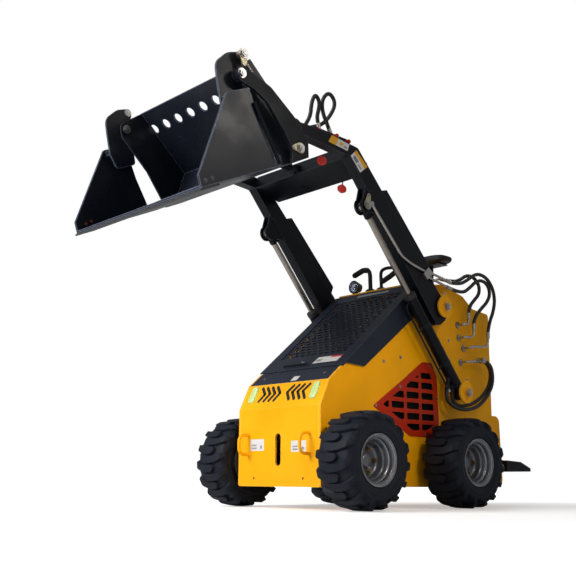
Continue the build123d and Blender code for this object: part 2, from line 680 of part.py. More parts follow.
def blade():
    rear_bend = behind_blade(0, SHEET)
    rear_top = behind_blade(BLADE_LENGTH, SHEET)
    upper = bucket_plate([BLADE_TOP, BLADE_BEND, rear_bend, rear_top], -BLADE_HALF, BLADE_HALF)
    toe_out = [rear_bend, BLADE_BEND, BLADE_LOW, BLADE_TOE, (150, 0), (0, 0)]
    toe_in = [(-38, 128), (34, 44), (140, 29), (140, 10), (6, 10)]
    toe = bucket_plate(toe_out, -BLADE_HALF, BLADE_HALF)
    toe -= bucket_plate(toe_in, -BLADE_HALF - 1, BLADE_HALF + 1)
    base = bucket_point(*BLADE_BEND)
    top = bucket_point(*BLADE_TOP)
    for step in range(-4, 5):
        at = toward(base, top, HOLE_UP)
        run = Vector(0, top[0] - base[0], top[1] - base[1]).normalized()
        normal = Vector(0, -run.Z, run.Y)
        start = Vector(step * HOLE_PITCH, *at) - normal * 30
        upper -= bar(tuple(start), tuple(start + normal * 60), HOLE_R)
    end = bucket_plate(
        [
            (0, 0),
            (150, 0),
            (BLADE_TOE[0], BLADE_TOE[1]),
            (190, 200, 30),
            (CLAM_PIN[0] + 34, CLAM_PIN[1] - 30, 34),
            (CLAM_PIN[0] + 20, CLAM_PIN[1] + 36, 34),
            (BLADE_TOP[0], BLADE_TOP[1], 10),
            rear_top,
            rear_bend,
        ],
        BLADE_HALF,
        BLADE_HALF + SHEET,
    )
    end -= disc(CLAM_HINGE, CLAM_PIN_R + RUNNING_GAP, BLADE_HALF - 1, BLADE_HALF + SHEET + 1)
    end -= disc(clam_low, CLAM_PULL_R + RUNNING_GAP, BLADE_HALF - 1, BLADE_HALF + SHEET + 1)
    return upper + toe + end + mirror(end, about=Plane.YZ)


nodes["blade"] = blade()


def hitch_ear(x_low):
    """A plate behind the blade that carries the tilt hinge's pin."""
    web = bucket_plate(
        [
            (BLADE_BEND[0] - SHEET, BLADE_BEND[1] - 4),
            (-14, 226),
            (TILT_PIN[0] - 6, TILT_PIN[1] + 34),
            (TILT_PIN[0] - 34, TILT_PIN[1]),
            (TILT_PIN[0], TILT_PIN[1] - 36),
        ],
        x_low,
        x_low + 9,
    )
    web += disc(TILT_HINGE, 36, x_low, x_low + 9)
    return web - disc(TILT_HINGE, TILT_PIN_R + RUNNING_GAP, x_low - 1, x_low + 10)


def hitch_frame():
    """The cross plate behind the blade, with the tilt cylinder's lugs."""
    back = SHEET + PAD_THICK
    outline = [behind_blade(run, lift) for run, lift in ((30, SHEET), (250, SHEET), (250, back), (30, back))]
    pad = bucket_plate(outline, -PAD_HALF, PAD_HALF)
    lever, turn = TILT_LEVER[0], radians(TILT_LEVER[1])
    pin = (TILT_PIN[0] + lever * cos(turn), TILT_PIN[1] + lever * sin(turn))
    low, high = (pin[0] - 7, pin[1] - 19), (pin[0] - 7, pin[1] + 19)
    foot = [behind_blade(56, back - 1), behind_blade(165, back - 1)]
    web = bucket_plate([*foot, high, low], HITCH_LUG_IN, HITCH_LUG_IN + LUG_THICK)
    lug = web + disc(TILT_ROD_PIN, 20, HITCH_LUG_IN, HITCH_LUG_IN + LUG_THICK)
    return pad + lug + mirror(lug, about=Plane.YZ)


nodes["hitch_frame"] = hitch_frame()
nodes["hitch_ears"] = both_sides(Part() + [hitch_ear(ARM_IN - 14), hitch_ear(ARM_OUT + 5)]) - nodes["blade"]
nodes["hitch_pins"] = both_sides(disc(TILT_HINGE, TILT_PIN_R, ARM_IN - 18, ARM_OUT + 18))


def pivot_arm():
    """The curved outer arm between the clam's hinge and the pull cylinder's foot, with both pins."""
    arm_plate = bucket_plate(
        [
            (CLAM_PIN[0] - 24, CLAM_PIN[1] + 32, 30),
            (CLAM_PIN[0] + 36, CLAM_PIN[1] + 18, 30),
            (CLAM_PIN[0] + 22, CLAM_PIN[1] - 30, 20),
            (196, 352, 20),
            (140, 285, 60),
            (92, 140, 60),
            (78, 60, 10),
            (100, 0, 6),
            (-8, 0, 6),
            (-36, 70, 20),
            (0, 190, 80),
            (90, 345, 80),
        ],
        LINK_IN,
        LINK_IN + LINK_THICK,
    )
    hinge_pin = disc(CLAM_HINGE, CLAM_PIN_R, BLADE_HALF - 12, LINK_IN + LINK_THICK + 10)
    pull_pin = disc(clam_low, CLAM_PULL_R, BLADE_HALF, LINK_IN + LINK_THICK + 12)
    spacer = bucket_plate([(-6, 0), (60, 0), (60, 16), (-6, 16)], BLADE_HALF + SHEET, LINK_IN)
    return arm_plate + hinge_pin + pull_pin + spacer


nodes["pivot_arms"] = both_sides(pivot_arm())


# ---------------------------------------------------------------- bucket: clam
def clam():
    floor = bucket_plate(
        [(168, 0), (LIP[0], LIP[1]), (LIP[0], 10), (172, 10), (164, 36), (156.5, 44), (158, 20)],
        -CLAM_HALF + CLAM_WALL,
        CLAM_HALF - CLAM_WALL,
    )
    cheek = bucket_plate(
        [
            LIP,
            (653, 54),
            (363, 362, 12),
            (226, 362),
            (226, 186),
            (212, 60),
            (208, 0),
        ],
        CLAM_HALF - CLAM_WALL,
        CLAM_HALF,
    )
    return floor + cheek + mirror(cheek, about=Plane.YZ)


def clam_ear():
    """The ear on the clam's side: hinge below, pull cylinder's pin above, and its tie to the cheek."""
    ear = bucket_plate(
        [
            (CLAM_TOP_PIN[0] - 16, CLAM_TOP_PIN[1] - 18, 16),
            (CLAM_TOP_PIN[0] - 20, CLAM_TOP_PIN[1] + 18, 24),
            (240, 540, 60),
            (325, 508, 60),
            (345, 430, 60),
            (366, 330, 4),
            (352, 250, 20),
            (236, 250, 20),
            (206, 400, 20),
            (200, 450, 20),
        ],
        EAR_IN,
        EAR_IN + EAR_THICK,
    )
    ear -= disc(CLAM_HINGE, CLAM_PIN_R + RUNNING_GAP, EAR_IN - 1, EAR_IN + EAR_THICK + 1)
    tie_outline = [(250, 330), (356, 330), (356, 354), (250, 354)]
    tie = bucket_plate(tie_outline, EAR_IN + EAR_THICK, CLAM_HALF - CLAM_WALL)
    spacer = disc(clam_top, CLAM_PULL_R, EAR_IN + EAR_THICK, CLAM_CYLINDER_X - CLAM_EYE_WIDTH / 2 - 0.3)
    return ear + tie + spacer


ear = clam_ear()
nodes["clam"] = clam() + ear + mirror(ear, about=Plane.YZ)
nodes["cutting_edge"] = bucket_plate(
    [(560, -12), (560, 0), (LIP[0], 0), CUTTING_EDGE_TIP, (LIP[0] + 8, -12)], -CLAM_HALF, CLAM_HALF
)

# ---------------------------------------------------------------- fittings on the nose and the tower
LOOP_X = 222.0
LOOP_TOP_Z = 358.0
LOOP_FOOT_Z = 260.0
LOOP_OUT = 62.0
LOOP_R = 8.0
loop_path = FilletPolyline(
    (LOOP_X, NOSE_Y, LOOP_FOOT_Z),
    (LOOP_X, NOSE_Y - LOOP_OUT, LOOP_FOOT_Z),
    (LOOP_X, NOSE_Y - LOOP_OUT, LOOP_TOP_Z),
    (LOOP_X, NOSE_Y, LOOP_TOP_Z),
    radius=34,
)
tie_down = sweep(Plane(origin=loop_path @ 0, z_dir=loop_path % 0) * Circle(LOOP_R), path=loop_path)
nodes["tie_down_loops"] = both_sides(tie_down)

brow_run = Vector(0, NOSE_TOP[0] - NOSE_Y, NOSE_TOP[1] - NOSE_BEND_Z)
LAMP_X = 228.0
lamp_plane = Plane(
    origin=tuple(Vector(LAMP_X, NOSE_Y, NOSE_BEND_Z) + brow_run.normalized() * 83),
    x_dir=(1, 0, 0),
    z_dir=(0, -brow_run.Z, brow_run.Y),
)
nodes["front_lamps"] = both_sides(extrude(lamp_plane * SlotOverall(92, 36, rotation=90), amount=12))

WORK_LAMP = (200.0, 244.0, 1228.0)
WORK_LAMP_R = 31.0
lamp_case = Plane(origin=WORK_LAMP, z_dir=(0, 1, 0))
lamp = extrude(lamp_case * Circle(WORK_LAMP_R), amount=34)
lamp += extrude(lamp_case * Pos(0, 0, 34) * Circle(WORK_LAMP_R - 8), amount=16)
lamp += block(WORK_LAMP[0] - 9, WORK_LAMP[0] + 9, WORK_LAMP[1] + 8, WORK_LAMP[1] + 26, 1172, WORK_LAMP[2] - 20)
nodes["work_lamps"] = both_sides(lamp) - nodes["top_cover"]


def lever(foot, elbow, tip, radius):
    """A control lever: a thin post from its boot, and a padded grip that leans to one side."""
    boot = Pos(foot[0], foot[1], foot[2] + 12) * Cone(26, 12, 24)
    post = bar((foot[0], foot[1], foot[2] + 22), elbow, 7)
    grip = bar(elbow, tip, radius)
    return Part() + [boot, post, Pos(*elbow) * Sphere(radius), grip, Pos(*tip) * Sphere(radius)]


COVER_TOP_Z = 1174.0
nodes["control_levers"] = Part() + [
    lever((-104, 285, COVER_TOP_Z + 1), (-112, 285, 1324), (-236, 280, 1306), 13),
    lever((-34, 300, COVER_TOP_Z + 2), (-40, 300, 1312), (98, 290, 1296), 13),
    lever((120, 330, COVER_TOP_Z + 6), (122, 330, 1290), (122, 332, 1338), 24),
] - nodes["top_cover"]
PAD_AT = (0.0, 700.0, 1420.0)
pad = Pos(*PAD_AT) * fillet(Box(280, 130, 64).edges(), 28)
nodes["hip_pad"] = pad + bar((0, 700, TOWER_STEP[1] - 20), (0, 700, PAD_AT[2]), 19) - nodes["top_cover"]

housing = plate(
    [
        (TAIL_Y, GROUND_CLEARANCE + 20),
        (TAIL_Y, HOUSING_TOP_Z),
        (HOUSING_REAR_Y - 14, HOUSING_TOP_Z, 40),
        (HOUSING_REAR_Y, GROUND_CLEARANCE + 20, 20),
    ],
    -PLATFORM_HALF,
    PLATFORM_HALF,
)
nodes["rear_housing"] = housing
step = plate(PLATFORM, -PLATFORM_HALF, PLATFORM_HALF)
for side in (-1, 1):
    step += block(side * 180 - 20, side * 180 + 20, HOUSING_REAR_Y - 4, 1034, 195, 235)
nodes["foot_platform"] = step - housing

# ---------------------------------------------------------------- hydraulic ports, pipes and hoses
HOSE_R = 8.5
TUBE_R = 7.0
CRIMP_R = 10.5  # metal sleeve that holds a hose's end
CRIMP_LENGTH = 40.0
TUBE_X = 342.0
TUBES = [
    [(551, 984), (598, 990), (600, 1053)],
    [(560, 914), (642, 920), (644, 998)],
    [(599, 858), (620, 866), (772, 880), (776, 963)],
    [(571, 777), (600, 780), (690, 794)],
]
ports = []
for route in TUBES:
    ports.append(disc(route[0], 19, BODY_HALF, BODY_HALF + 5))
    ports.append(hose([(BODY_HALF + 2, *route[0])] + [(TUBE_X, *at) for at in route], TUBE_R))
    last = toward(route[-1], route[-2], 34)
    ports.append(bar((TUBE_X, *last), (TUBE_X, *route[-1]), CRIMP_R))
ports.append(block(TUBE_X - 12, TUBE_X + 30, 680, 706, 780, 808))  # branch for the two lift hoses
nodes["hydraulic_ports"] = Part() + ports

PIPE_X = 397.0
PIPE_R = 7.0
PIPE_ROUTES = [
    [(PIPE_X, 372, 1184), (PIPE_X, 300, 1198), (PIPE_X, 200, 1212), (PIPE_X, 150, 1214), (PIPE_X, 40, 1238),
     (PIPE_X, -28, 1266), (PIPE_X, -60, 1300), (PIPE_X, -250, 1497)],
    [(PIPE_X, 378, 1150), (PIPE_X, 330, 1158), (PIPE_X, 240, 1176), (PIPE_X, 150, 1192)],
    [(ARM_MIDDLE, 380, 1204), (ARM_MIDDLE, 310, 1202), (ARM_MIDDLE, 220, 1160)],
]
pipes = []
for route in PIPE_ROUTES:
    pipes.append(hose(route, PIPE_R))
    start, along = Vector(*route[0]), Vector(*route[1]) - Vector(*route[0])
    pipes.append(bar(route[0], tuple(start + along.normalized() * CRIMP_LENGTH), CRIMP_R))
pipes.append(plate([(174, 1236), (213, 1211), (165, 1168), (136, 1196)], ARM_OUT, PIPE_X + PIPE_R + 5))
pipes.append(disc((-250, 1497), 12, ARM_OUT, PIPE_X + PIPE_R))
nodes["arm_pipes"] = Part() + pipes - arm

HOSE_ROUTES = {
    "supply_hose_inner": [
        (TUBE_X, 600, 1053), (346, 604, 1090), (350, 645, 1131), (352, 690, 1170), (353, 694, 1222),
        (355, 640, 1262), (357, 570, 1262), (359, 510, 1226), (360, 450, 1206), (ARM_MIDDLE, 380, 1204),
    ],
    "supply_hose_middle": [
        (TUBE_X, 644, 998), (350, 646, 1035), (360, 690, 1084), (366, 745, 1130), (372, 768, 1180),
        (376, 742, 1230), (379, 680, 1247), (383, 615, 1226), (390, 550, 1180), (396, 470, 1138),
        (PIPE_X, 378, 1150),
    ],
    "supply_hose_outer": [
        (TUBE_X, 776, 963), (350, 781, 1019), (362, 805, 1080), (372, 812, 1150), (380, 784, 1214),
        (386, 724, 1262), (391, 645, 1276), (394, 580, 1256), (397, 520, 1218), (PIPE_X, 450, 1186),
        (PIPE_X, 372, 1184),
    ],
    "lift_hose_inner": [
        (TUBE_X, 706, 794), (348, 742, 790), (356, 764, 745), (362, 756, 700), (364, 728, 645),
        (364, 665, 588), (364, 588, 550), (363, 503, 530), (362, 440, 530), (CYLINDER_X, 404, 560),
        (CYLINDER_X, 402, 598),
    ],
    "lift_hose_outer": [
        (TUBE_X + 22, 706, 788), (370, 744, 780), (377, 757, 725), (382, 742, 655), (383, 680, 584),
        (383, 601, 531), (381, 510, 509), (376, 430, 512), (368, 374, 536), (CYLINDER_X, 355, 566),
        (CYLINDER_X, 358, 602),
    ],
}
for name, route in HOSE_ROUTES.items():
    nodes[name] = hose(route, HOSE_R) - [nodes["hydraulic_ports"], nodes["arm_pipes"], nodes["lift_barrels"]]

COUPLER_IN = 300.0
COUPLER_HOSE_R = 8.5
COUPLER_ROUTES = {
    "front": [
        (323, -667, 1796), (323, -640, 1830), (323, -604, 1890), (323, -598, 1960), (323, -572, 2014),
        (323, -541, 1980), (323, -550, 1930), (323, -562, 1892), (323, -549, 1846),
    ],
    "rear": [
        (306, -636, 1810), (306, -600, 1834), (306, -510, 1870), (306, -444, 1944), (308, -412, 2016),
        (312, -462, 2060), (318, -518, 2006), (322, -524, 1936), (320, -482, 1872), (318, -465, 1842),
    ],
}
coupler = plate([(-345, 1786), (-345, 1828, 8), (-590, 1838, 8), (-590, 1800)], COUPLER_IN, ARM_IN)
coupler += block(COUPLER_IN - 4, ARM_IN, -690, -620, 1762, 1786)
for route in COUPLER_ROUTES.values():
    for at, near in ((Vector(*route[0]), Vector(*route[1])), (Vector(*route[-1]), Vector(*route[-2]))):
        outward = (near - at).normalized()
        coupler += bar(tuple(at - outward * 34), tuple(at), CRIMP_R)
for end, route in COUPLER_ROUTES.items():
    nodes[f"coupler_hose_{end}"] = hose(route, COUPLER_HOSE_R) - coupler
nodes["coupler_block"] = coupler - nodes["arm_left"]
caps = [disc(at, 12, ARM_IN, ARM_IN + 26) for at in ((-573, 1816), (-447, 1819), (-362, 1811))]
nodes["coupler_caps"] = Part() + caps - nodes["arm_left"]

# ---------------------------------------------------------------- writing
os.makedirs("parts", exist_ok=True)
for name, shape in nodes.items():
    export_step(Pos(0, -ORIGIN_Y, 0) * shape, f"parts/{name}.step")
print(len(nodes), "nodes, origin at", round(ORIGIN_Y, 1))
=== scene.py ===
import math

import bmesh
import bpy
from mathutils import Matrix, Vector


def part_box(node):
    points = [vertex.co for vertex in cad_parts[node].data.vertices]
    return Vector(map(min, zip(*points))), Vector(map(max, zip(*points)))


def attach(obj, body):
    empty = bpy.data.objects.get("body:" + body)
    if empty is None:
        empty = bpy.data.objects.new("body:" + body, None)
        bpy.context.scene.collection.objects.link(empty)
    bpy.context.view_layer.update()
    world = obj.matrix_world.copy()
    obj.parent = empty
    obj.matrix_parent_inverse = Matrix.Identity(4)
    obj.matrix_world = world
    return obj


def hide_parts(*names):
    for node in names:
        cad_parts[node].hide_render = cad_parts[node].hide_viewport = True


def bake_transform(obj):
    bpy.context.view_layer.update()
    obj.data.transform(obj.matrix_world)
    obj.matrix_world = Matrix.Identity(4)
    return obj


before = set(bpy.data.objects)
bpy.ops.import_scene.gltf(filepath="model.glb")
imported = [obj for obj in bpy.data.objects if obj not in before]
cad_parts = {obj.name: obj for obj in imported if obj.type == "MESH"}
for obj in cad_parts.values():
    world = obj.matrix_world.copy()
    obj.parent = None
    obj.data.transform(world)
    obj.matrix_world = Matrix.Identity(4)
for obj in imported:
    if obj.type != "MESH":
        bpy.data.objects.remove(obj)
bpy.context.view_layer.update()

# ---------------------------------------------------------------- studio
# The loader stands on a plain pale floor. The camera is low, in front of the machine and to its left,
# and looks slightly up. A large lamp lights the nose, four weaker ones the left side, the bucket and
# the back, and the room's own light fills the rest.
scene = bpy.context.scene
scene.view_settings.view_transform = "Standard"

CAMERA_AT = (3.399, -3.490, 0.147)
TURN, TILT, ROLL = math.radians(47.594), math.radians(11.637), math.radians(0.366)
camera_data = bpy.data.cameras.new("camera")
camera_data.lens = 57.62
camera_data.sensor_width = 36.0
camera_data.clip_end = 60.0
camera = bpy.data.objects.new("camera", camera_data)
scene.collection.objects.link(camera)
ahead = Vector((-math.sin(TURN) * math.cos(TILT), math.cos(TURN) * math.cos(TILT), math.sin(TILT)))
level_right = Vector((math.cos(TURN), math.sin(TURN), 0))
level_up = level_right.cross(ahead)
right = math.cos(ROLL) * level_right + math.sin(ROLL) * level_up
up = math.cos(ROLL) * level_up - math.sin(ROLL) * level_right
view = Matrix((right, up, -ahead)).transposed().to_4x4()
camera.matrix_world = Matrix.Translation(CAMERA_AT) @ view
scene.camera = camera

WHITE, CREAM, WARM, WARMEST = (1, 1, 1), (1.0, 0.95, 0.88), (1.0, 0.86, 0.68), (1.0, 0.82, 0.62)
# each lamp's place, target, size, watts, colour and spread in degrees
lamps = {
    "front_lamp": ((-1.6, -6.4, 4.2), (0, -0.2, 0.7), (3.4, 3.0), 505, WHITE, 180.0),
    "side_lamp": ((5.2, -1.4, 3.6), (0.3, -0.42, 0.60), (0.9, 0.9), 2.8, WARM, 22.0),
    "sheen_lamp": ((4.4, 1.9, 3.8), (0.5, -1.15, 1.74), (0.8, 0.8), 0.13, CREAM, 13.0),
    "fill_lamp": ((6.2, 1.6, 4.6), (0, 0.1, 0.8), (2.4, 3.4), 14, WARMEST, 180.0),
    "rear_lamp": ((-3.4, 5.4, 4.4), (0, 0.2, 0.8), (3.0, 2.4), 120, WHITE, 180.0),
}
for name, (at, target, size, watts, colour, spread) in lamps.items():
    data = bpy.data.lights.new(name, "AREA")
    data.spread = math.radians(spread)
    data.shape = "RECTANGLE"
    data.size, data.size_y = size
    data.energy = watts
    data.color = colour
    light = bpy.data.objects.new(name, data)
    light.location = at
    light.rotation_mode = "QUATERNION"
    light.rotation_quaternion = (Vector(target) - Vector(at)).to_track_quat("-Z", "Y")
    scene.collection.objects.link(light)


def wire(tree, target, inputs):
    """Sets a node's inputs, each given as a value or as the socket that feeds it."""
    for key, value in inputs.items():
        if isinstance(value, bpy.types.NodeSocket):
            tree.links.new(value, target.inputs[key])
        else:
            target.inputs[key].default_value = value


def node(tree, kind, inputs=None, **settings):
    """A new node with its settings and inputs."""
    made = tree.nodes.new(kind)
    for key, value in settings.items():
        setattr(made, key, value)
    wire(tree, made, inputs or {})
    return made


def worked_out(tree, operation, *inputs, clamp=False):
    """The output of one step of arithmetic."""
    made = node(tree, "ShaderNodeMath", dict(enumerate(inputs)), operation=operation, use_clamp=clamp)
    return made.outputs[0]


def ranged(tree, value, start, end, low=0.0, high=1.0):
    """A value's place between start and end, laid out from low to high."""
    made = node(tree, "ShaderNodeMapRange", {
        "Value": value, "From Min": start, "From Max": end, "To Min": low, "To Max": high})
    return made.outputs["Result"]


def plain_material(name):
    """A new material, its node tree and its shader."""
    material = bpy.data.materials.new(name)
    material.use_nodes = True
    return material, material.node_tree, material.node_tree.nodes["Principled BSDF"]


ROOM_LIGHT, ROOM_GLOSS = 0.205, 0.16
world = bpy.data.worlds.new("room")
scene.world = world
world.use_nodes = True
tree = world.node_tree
ray = node(tree, "ShaderNodeLightPath").outputs
seen = worked_out(tree, "MAXIMUM", ray["Is Camera Ray"], ray["Is Transmission Ray"])
glossy = worked_out(tree, "MULTIPLY", ray["Is Glossy Ray"], ROOM_GLOSS)
strength = ranged(tree, worked_out(tree, "MAXIMUM", seen, glossy), 0.0, 1.0, ROOM_LIGHT, 1.0)
wire(tree, tree.nodes["Background"], {"Color": (1, 1, 1, 1), "Strength": strength})

FLOOR_HALF, FLOOR_DROP = 30.0, 0.001
floor_mesh = bpy.data.meshes.new("floor")
floor_mesh.from_pydata([(FLOOR_HALF * x, FLOOR_HALF * y, -FLOOR_DROP) for x, y in (
    (-1, -1), (1, -1), (1, 1), (-1, 1))], [], [(0, 1, 2, 3)])
floor = bpy.data.objects.new("floor", floor_mesh)
scene.collection.objects.link(floor)
floor_paint, tree, shader = plain_material("floor_paint")
where = node(tree, "ShaderNodeTexCoord").outputs["Object"]
reach = node(tree, "ShaderNodeVectorMath", {0: where}, operation="LENGTH").outputs["Value"]
seen = node(tree, "ShaderNodeLightPath").outputs["Is Camera Ray"]
glow = worked_out(tree, "MULTIPLY", seen, ranged(tree, reach, 1.5, 4.0, 0.42, 1.0))
wire(tree, shader, {"Base Color": (0.82, 0.82, 0.82, 1), "Roughness": 0.9, "Specular IOR Level": 0.1,
                    "Emission Color": (1, 1, 1, 1), "Emission Strength": glow})
floor_mesh.materials.append(floor_paint)

# ---------------------------------------------------------------- hydraulic hoses
# Wire-braided rubber hose in a spiral guard, pushed on barbed steel ends and crimped. Three run from
# the body's ports to the pipes on the left arm, two loop under the lift cylinder's pin to its base,
# and two short ones stand in loops on the boom's coupler.
front_low, front_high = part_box("rim_front_left")
rear_low, rear_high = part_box("rim_rear_left")
middle_y = (front_low[1] + front_high[1] + rear_low[1] + rear_high[1]) / 4


def place(x, y, z):
    """A point in metres, with y counted from the middle of the wheelbase."""
    return Vector((x, y + middle_y, z))


def new_group(name, inputs, outputs):
    """An empty shader node group with named sockets: the group, what it is given and what it makes."""
    group = bpy.data.node_groups.new(name, "ShaderNodeTree")
    for label, kind in inputs:
        group.interface.new_socket(label, in_out="INPUT", socket_type=kind)
    for label, kind in outputs:
        group.interface.new_socket(label, in_out="OUTPUT", socket_type=kind)
    return group, group.nodes.new("NodeGroupInput").outputs, group.nodes.new("NodeGroupOutput")


FLOAT, COLOUR = "NodeSocketFloat", "NodeSocketColor"


def noise(tree, where, scale, detail):
    """The output of a noise texture."""
    made = node(tree, "ShaderNodeTexNoise", {"Vector": where, "Scale": scale, "Detail": detail})
    return made.outputs["Fac"]


def mixed(tree, share, first, second):
    """The output of a mix of two colours."""
    return node(tree, "ShaderNodeMix", {"Factor": share, 6: first, 7: second}, data_type="RGBA").outputs[2]


def worn_coat_group():
    """Uneven colour, settled dust and a fine skin, as any painted or moulded surface has."""
    group, given, made = new_group(
        "worn_coat",
        [("Colour", COLOUR), ("Dust Colour", COLOUR), ("Dust", FLOAT), ("Patch Scale", FLOAT),
         ("Skin Scale", FLOAT), ("Roughness", FLOAT), ("Uneven", FLOAT)],
        [("Colour", COLOUR), ("Roughness", FLOAT), ("Height", FLOAT)],
    )
    where = node(group, "ShaderNodeTexCoord").outputs["Object"]
    patches = noise(group, where, given["Patch Scale"], 5.0)
    shade = ranged(group, patches, 0.3, 0.7, 0.90, 1.06)
    toned = node(group, "ShaderNodeVectorMath", {0: given["Colour"], "Scale": shade}, operation="SCALE")
    height = node(group, "ShaderNodeSeparateXYZ", {0: where}).outputs["Z"]
    dust = worked_out(group, "MULTIPLY", ranged(group, patches, 0.48, 0.78), given["Dust"])
    dust = worked_out(group, "MULTIPLY", dust, ranged(group, height, 0.0, 0.45, 1.6, 0.7), clamp=True)
    swing = worked_out(group, "SUBTRACT", patches, 0.5)
    gloss = worked_out(group, "MULTIPLY_ADD", swing, given["Uneven"], given["Roughness"], clamp=True)
    wire(group, made, {"Colour": mixed(group, dust, toned.outputs[0], given["Dust Colour"]),
                       "Roughness": gloss, "Height": noise(group, where, given["Skin Scale"], 2.0)})
    return group


worn_coat = worn_coat_group()


def coated(name, colour, roughness, dust=0.06, dust_colour=(0.35, 0.31, 0.26), skin=420.0, depth=0.00012,
           patch=5.0, uneven=0.25, metallic=0.0, specular=0.5):
    """A material whose colour, gloss and skin come from the worn coat."""
    material, tree, shader = plain_material(name)
    surface = node(tree, "ShaderNodeGroup", {
        "Colour": (*colour, 1), "Dust Colour": (*dust_colour, 1), "Dust": dust, "Patch Scale": patch,
        "Skin Scale": skin, "Roughness": roughness, "Uneven": uneven}, node_tree=worn_coat).outputs
    bump = node(tree, "ShaderNodeBump", {"Strength": 0.5, "Distance": depth, "Height": surface["Height"]})
    wire(tree, shader, {
        "Base Color": surface["Colour"], "Roughness": surface["Roughness"], "Normal": bump.outputs["Normal"],
        "Metallic": metallic, "Specular IOR Level": specular})
    return material


hose_rubber = coated("hose_rubber", (0.012, 0.012, 0.014), 0.42, dust=0.05, skin=900.0, patch=14.0)


def curve_mesh(curve):
    """The mesh of a curve, which is used up."""
    carrier = bpy.data.objects.new("carrier", curve)
    scene.collection.objects.link(carrier)
    mesh = bpy.data.meshes.new_from_object(carrier)
    bpy.data.objects.remove(carrier)
    bpy.data.curves.remove(curve)
    return mesh


def smooth_line(points, resolution=24):
    """Points along the smooth curve that a route's points steer."""
    curve = bpy.data.curves.new("route", "CURVE")
    curve.dimensions = "3D"
    curve.resolution_u = resolution
    spline = curve.splines.new("NURBS")
    spline.points.add(len(points) - 1)
    for knot, at in zip(spline.points, points):
        knot.co = (*place(*at), 1)
    spline.order_u = 3
    spline.use_endpoint_u = True
    mesh = curve_mesh(curve)
    line = [vertex.co.copy() for vertex in mesh.vertices]
    bpy.data.meshes.remove(mesh)
    return line


def evenly(line, pitch):
    """The same line as points a pitch apart."""
    lengths = [0.0]
    for a, b in zip(line, line[1:]):
        lengths.append(lengths[-1] + (b - a).length)
    count = max(2, round(lengths[-1] / pitch))
    points, segment = [], 0
    for step in range(count + 1):
        reach = lengths[-1] * step / count
        while segment < len(line) - 2 and lengths[segment + 1] < reach:
            segment += 1
        span = lengths[segment + 1] - lengths[segment]
        share = (reach - lengths[segment]) / span if span else 0
        points.append(line[segment].lerp(line[segment + 1], min(max(share, 0), 1)))
    return points


def bridged(bm, near, far, closed=True):
    """Adds the faces between two rings of vertices."""
    for index in range(len(near) if closed else len(near) - 1):
        after = (index + 1) % len(near)
        bm.faces.new((near[index], near[after], far[after], far[index]))


def faced(bm):
    """The same shape with its faces turned outward."""
    bmesh.ops.recalc_face_normals(bm, faces=bm.faces)
    return bm


def tube(line, radii, sides=12):
    """A closed round tube along a line, with one radius, or one for each of its points."""
    if not isinstance(radii, list):
        radii = [radii] * len(line)
    bm = bmesh.new()
    along = (line[1] - line[0]).normalized()
    across = along.orthogonal().normalized()
    rings = []
    for index, (at, radius) in enumerate(zip(line, radii)):
        if 0 < index < len(line) - 1:
            turned = (line[index + 1] - line[index - 1]).normalized()
        else:
            turned = (line[index] - line[index - 1]).normalized() if index else along
        across = (across - across.dot(turned) * turned).normalized()
        other = turned.cross(across)
        ring = []
        for side in range(sides):
            angle = 2 * math.pi * side / sides
            ring.append(bm.verts.new(at + radius * (math.cos(angle) * across + math.sin(angle) * other)))
        rings.append(ring)
    for low, high in zip(rings, rings[1:]):
        bridged(bm, low, high)
    bm.faces.new(list(reversed(rings[0])))
    bm.faces.new(rings[-1])
    return bm


def stepped(stations, sides):
    """A turned shape through stations, each as (point, radius)."""
    return faced(tube([at for at, _ in stations], [radius for _, radius in stations], sides))


def as_mesh(bm, name="shape"):
    """The mesh of a bmesh, which is used up."""
    mesh = bpy.data.meshes.new(name)
    bm.to_mesh(mesh)
    bm.free()
    return mesh


def add_mesh(bm, mesh):
    """Adds a mesh, which is used up, to a bmesh."""
    bm.from_mesh(mesh)
    bpy.data.meshes.remove(mesh)


def joined(shapes):
    """One bmesh from several."""
    whole_shape = bmesh.new()
    for shape in shapes:
        add_mesh(whole_shape, as_mesh(shape))
    return whole_shape


def stand(name, mesh, body=None, stands_for=None, angle=35.0):
    """Stands a mesh in the scene as a piece with its body, smooth but for its creases."""
    piece = bpy.data.objects.new(name, mesh)
    scene.collection.objects.link(piece)
    if angle:
        mesh.shade_smooth()
        mesh.set_sharp_from_angle(angle=math.radians(angle))
    if stands_for:
        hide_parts(stands_for)
    if body:
        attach(piece, body)
    return piece


def finish(name, bm, material, body=None, stands_for=None, angle=35.0):
    """Turns a bmesh into a piece of one material. An angle of 0 leaves every face flat."""
    mesh = as_mesh(bm, name)
    mesh.materials.append(material)
    return stand(name, mesh, body, stands_for, angle)


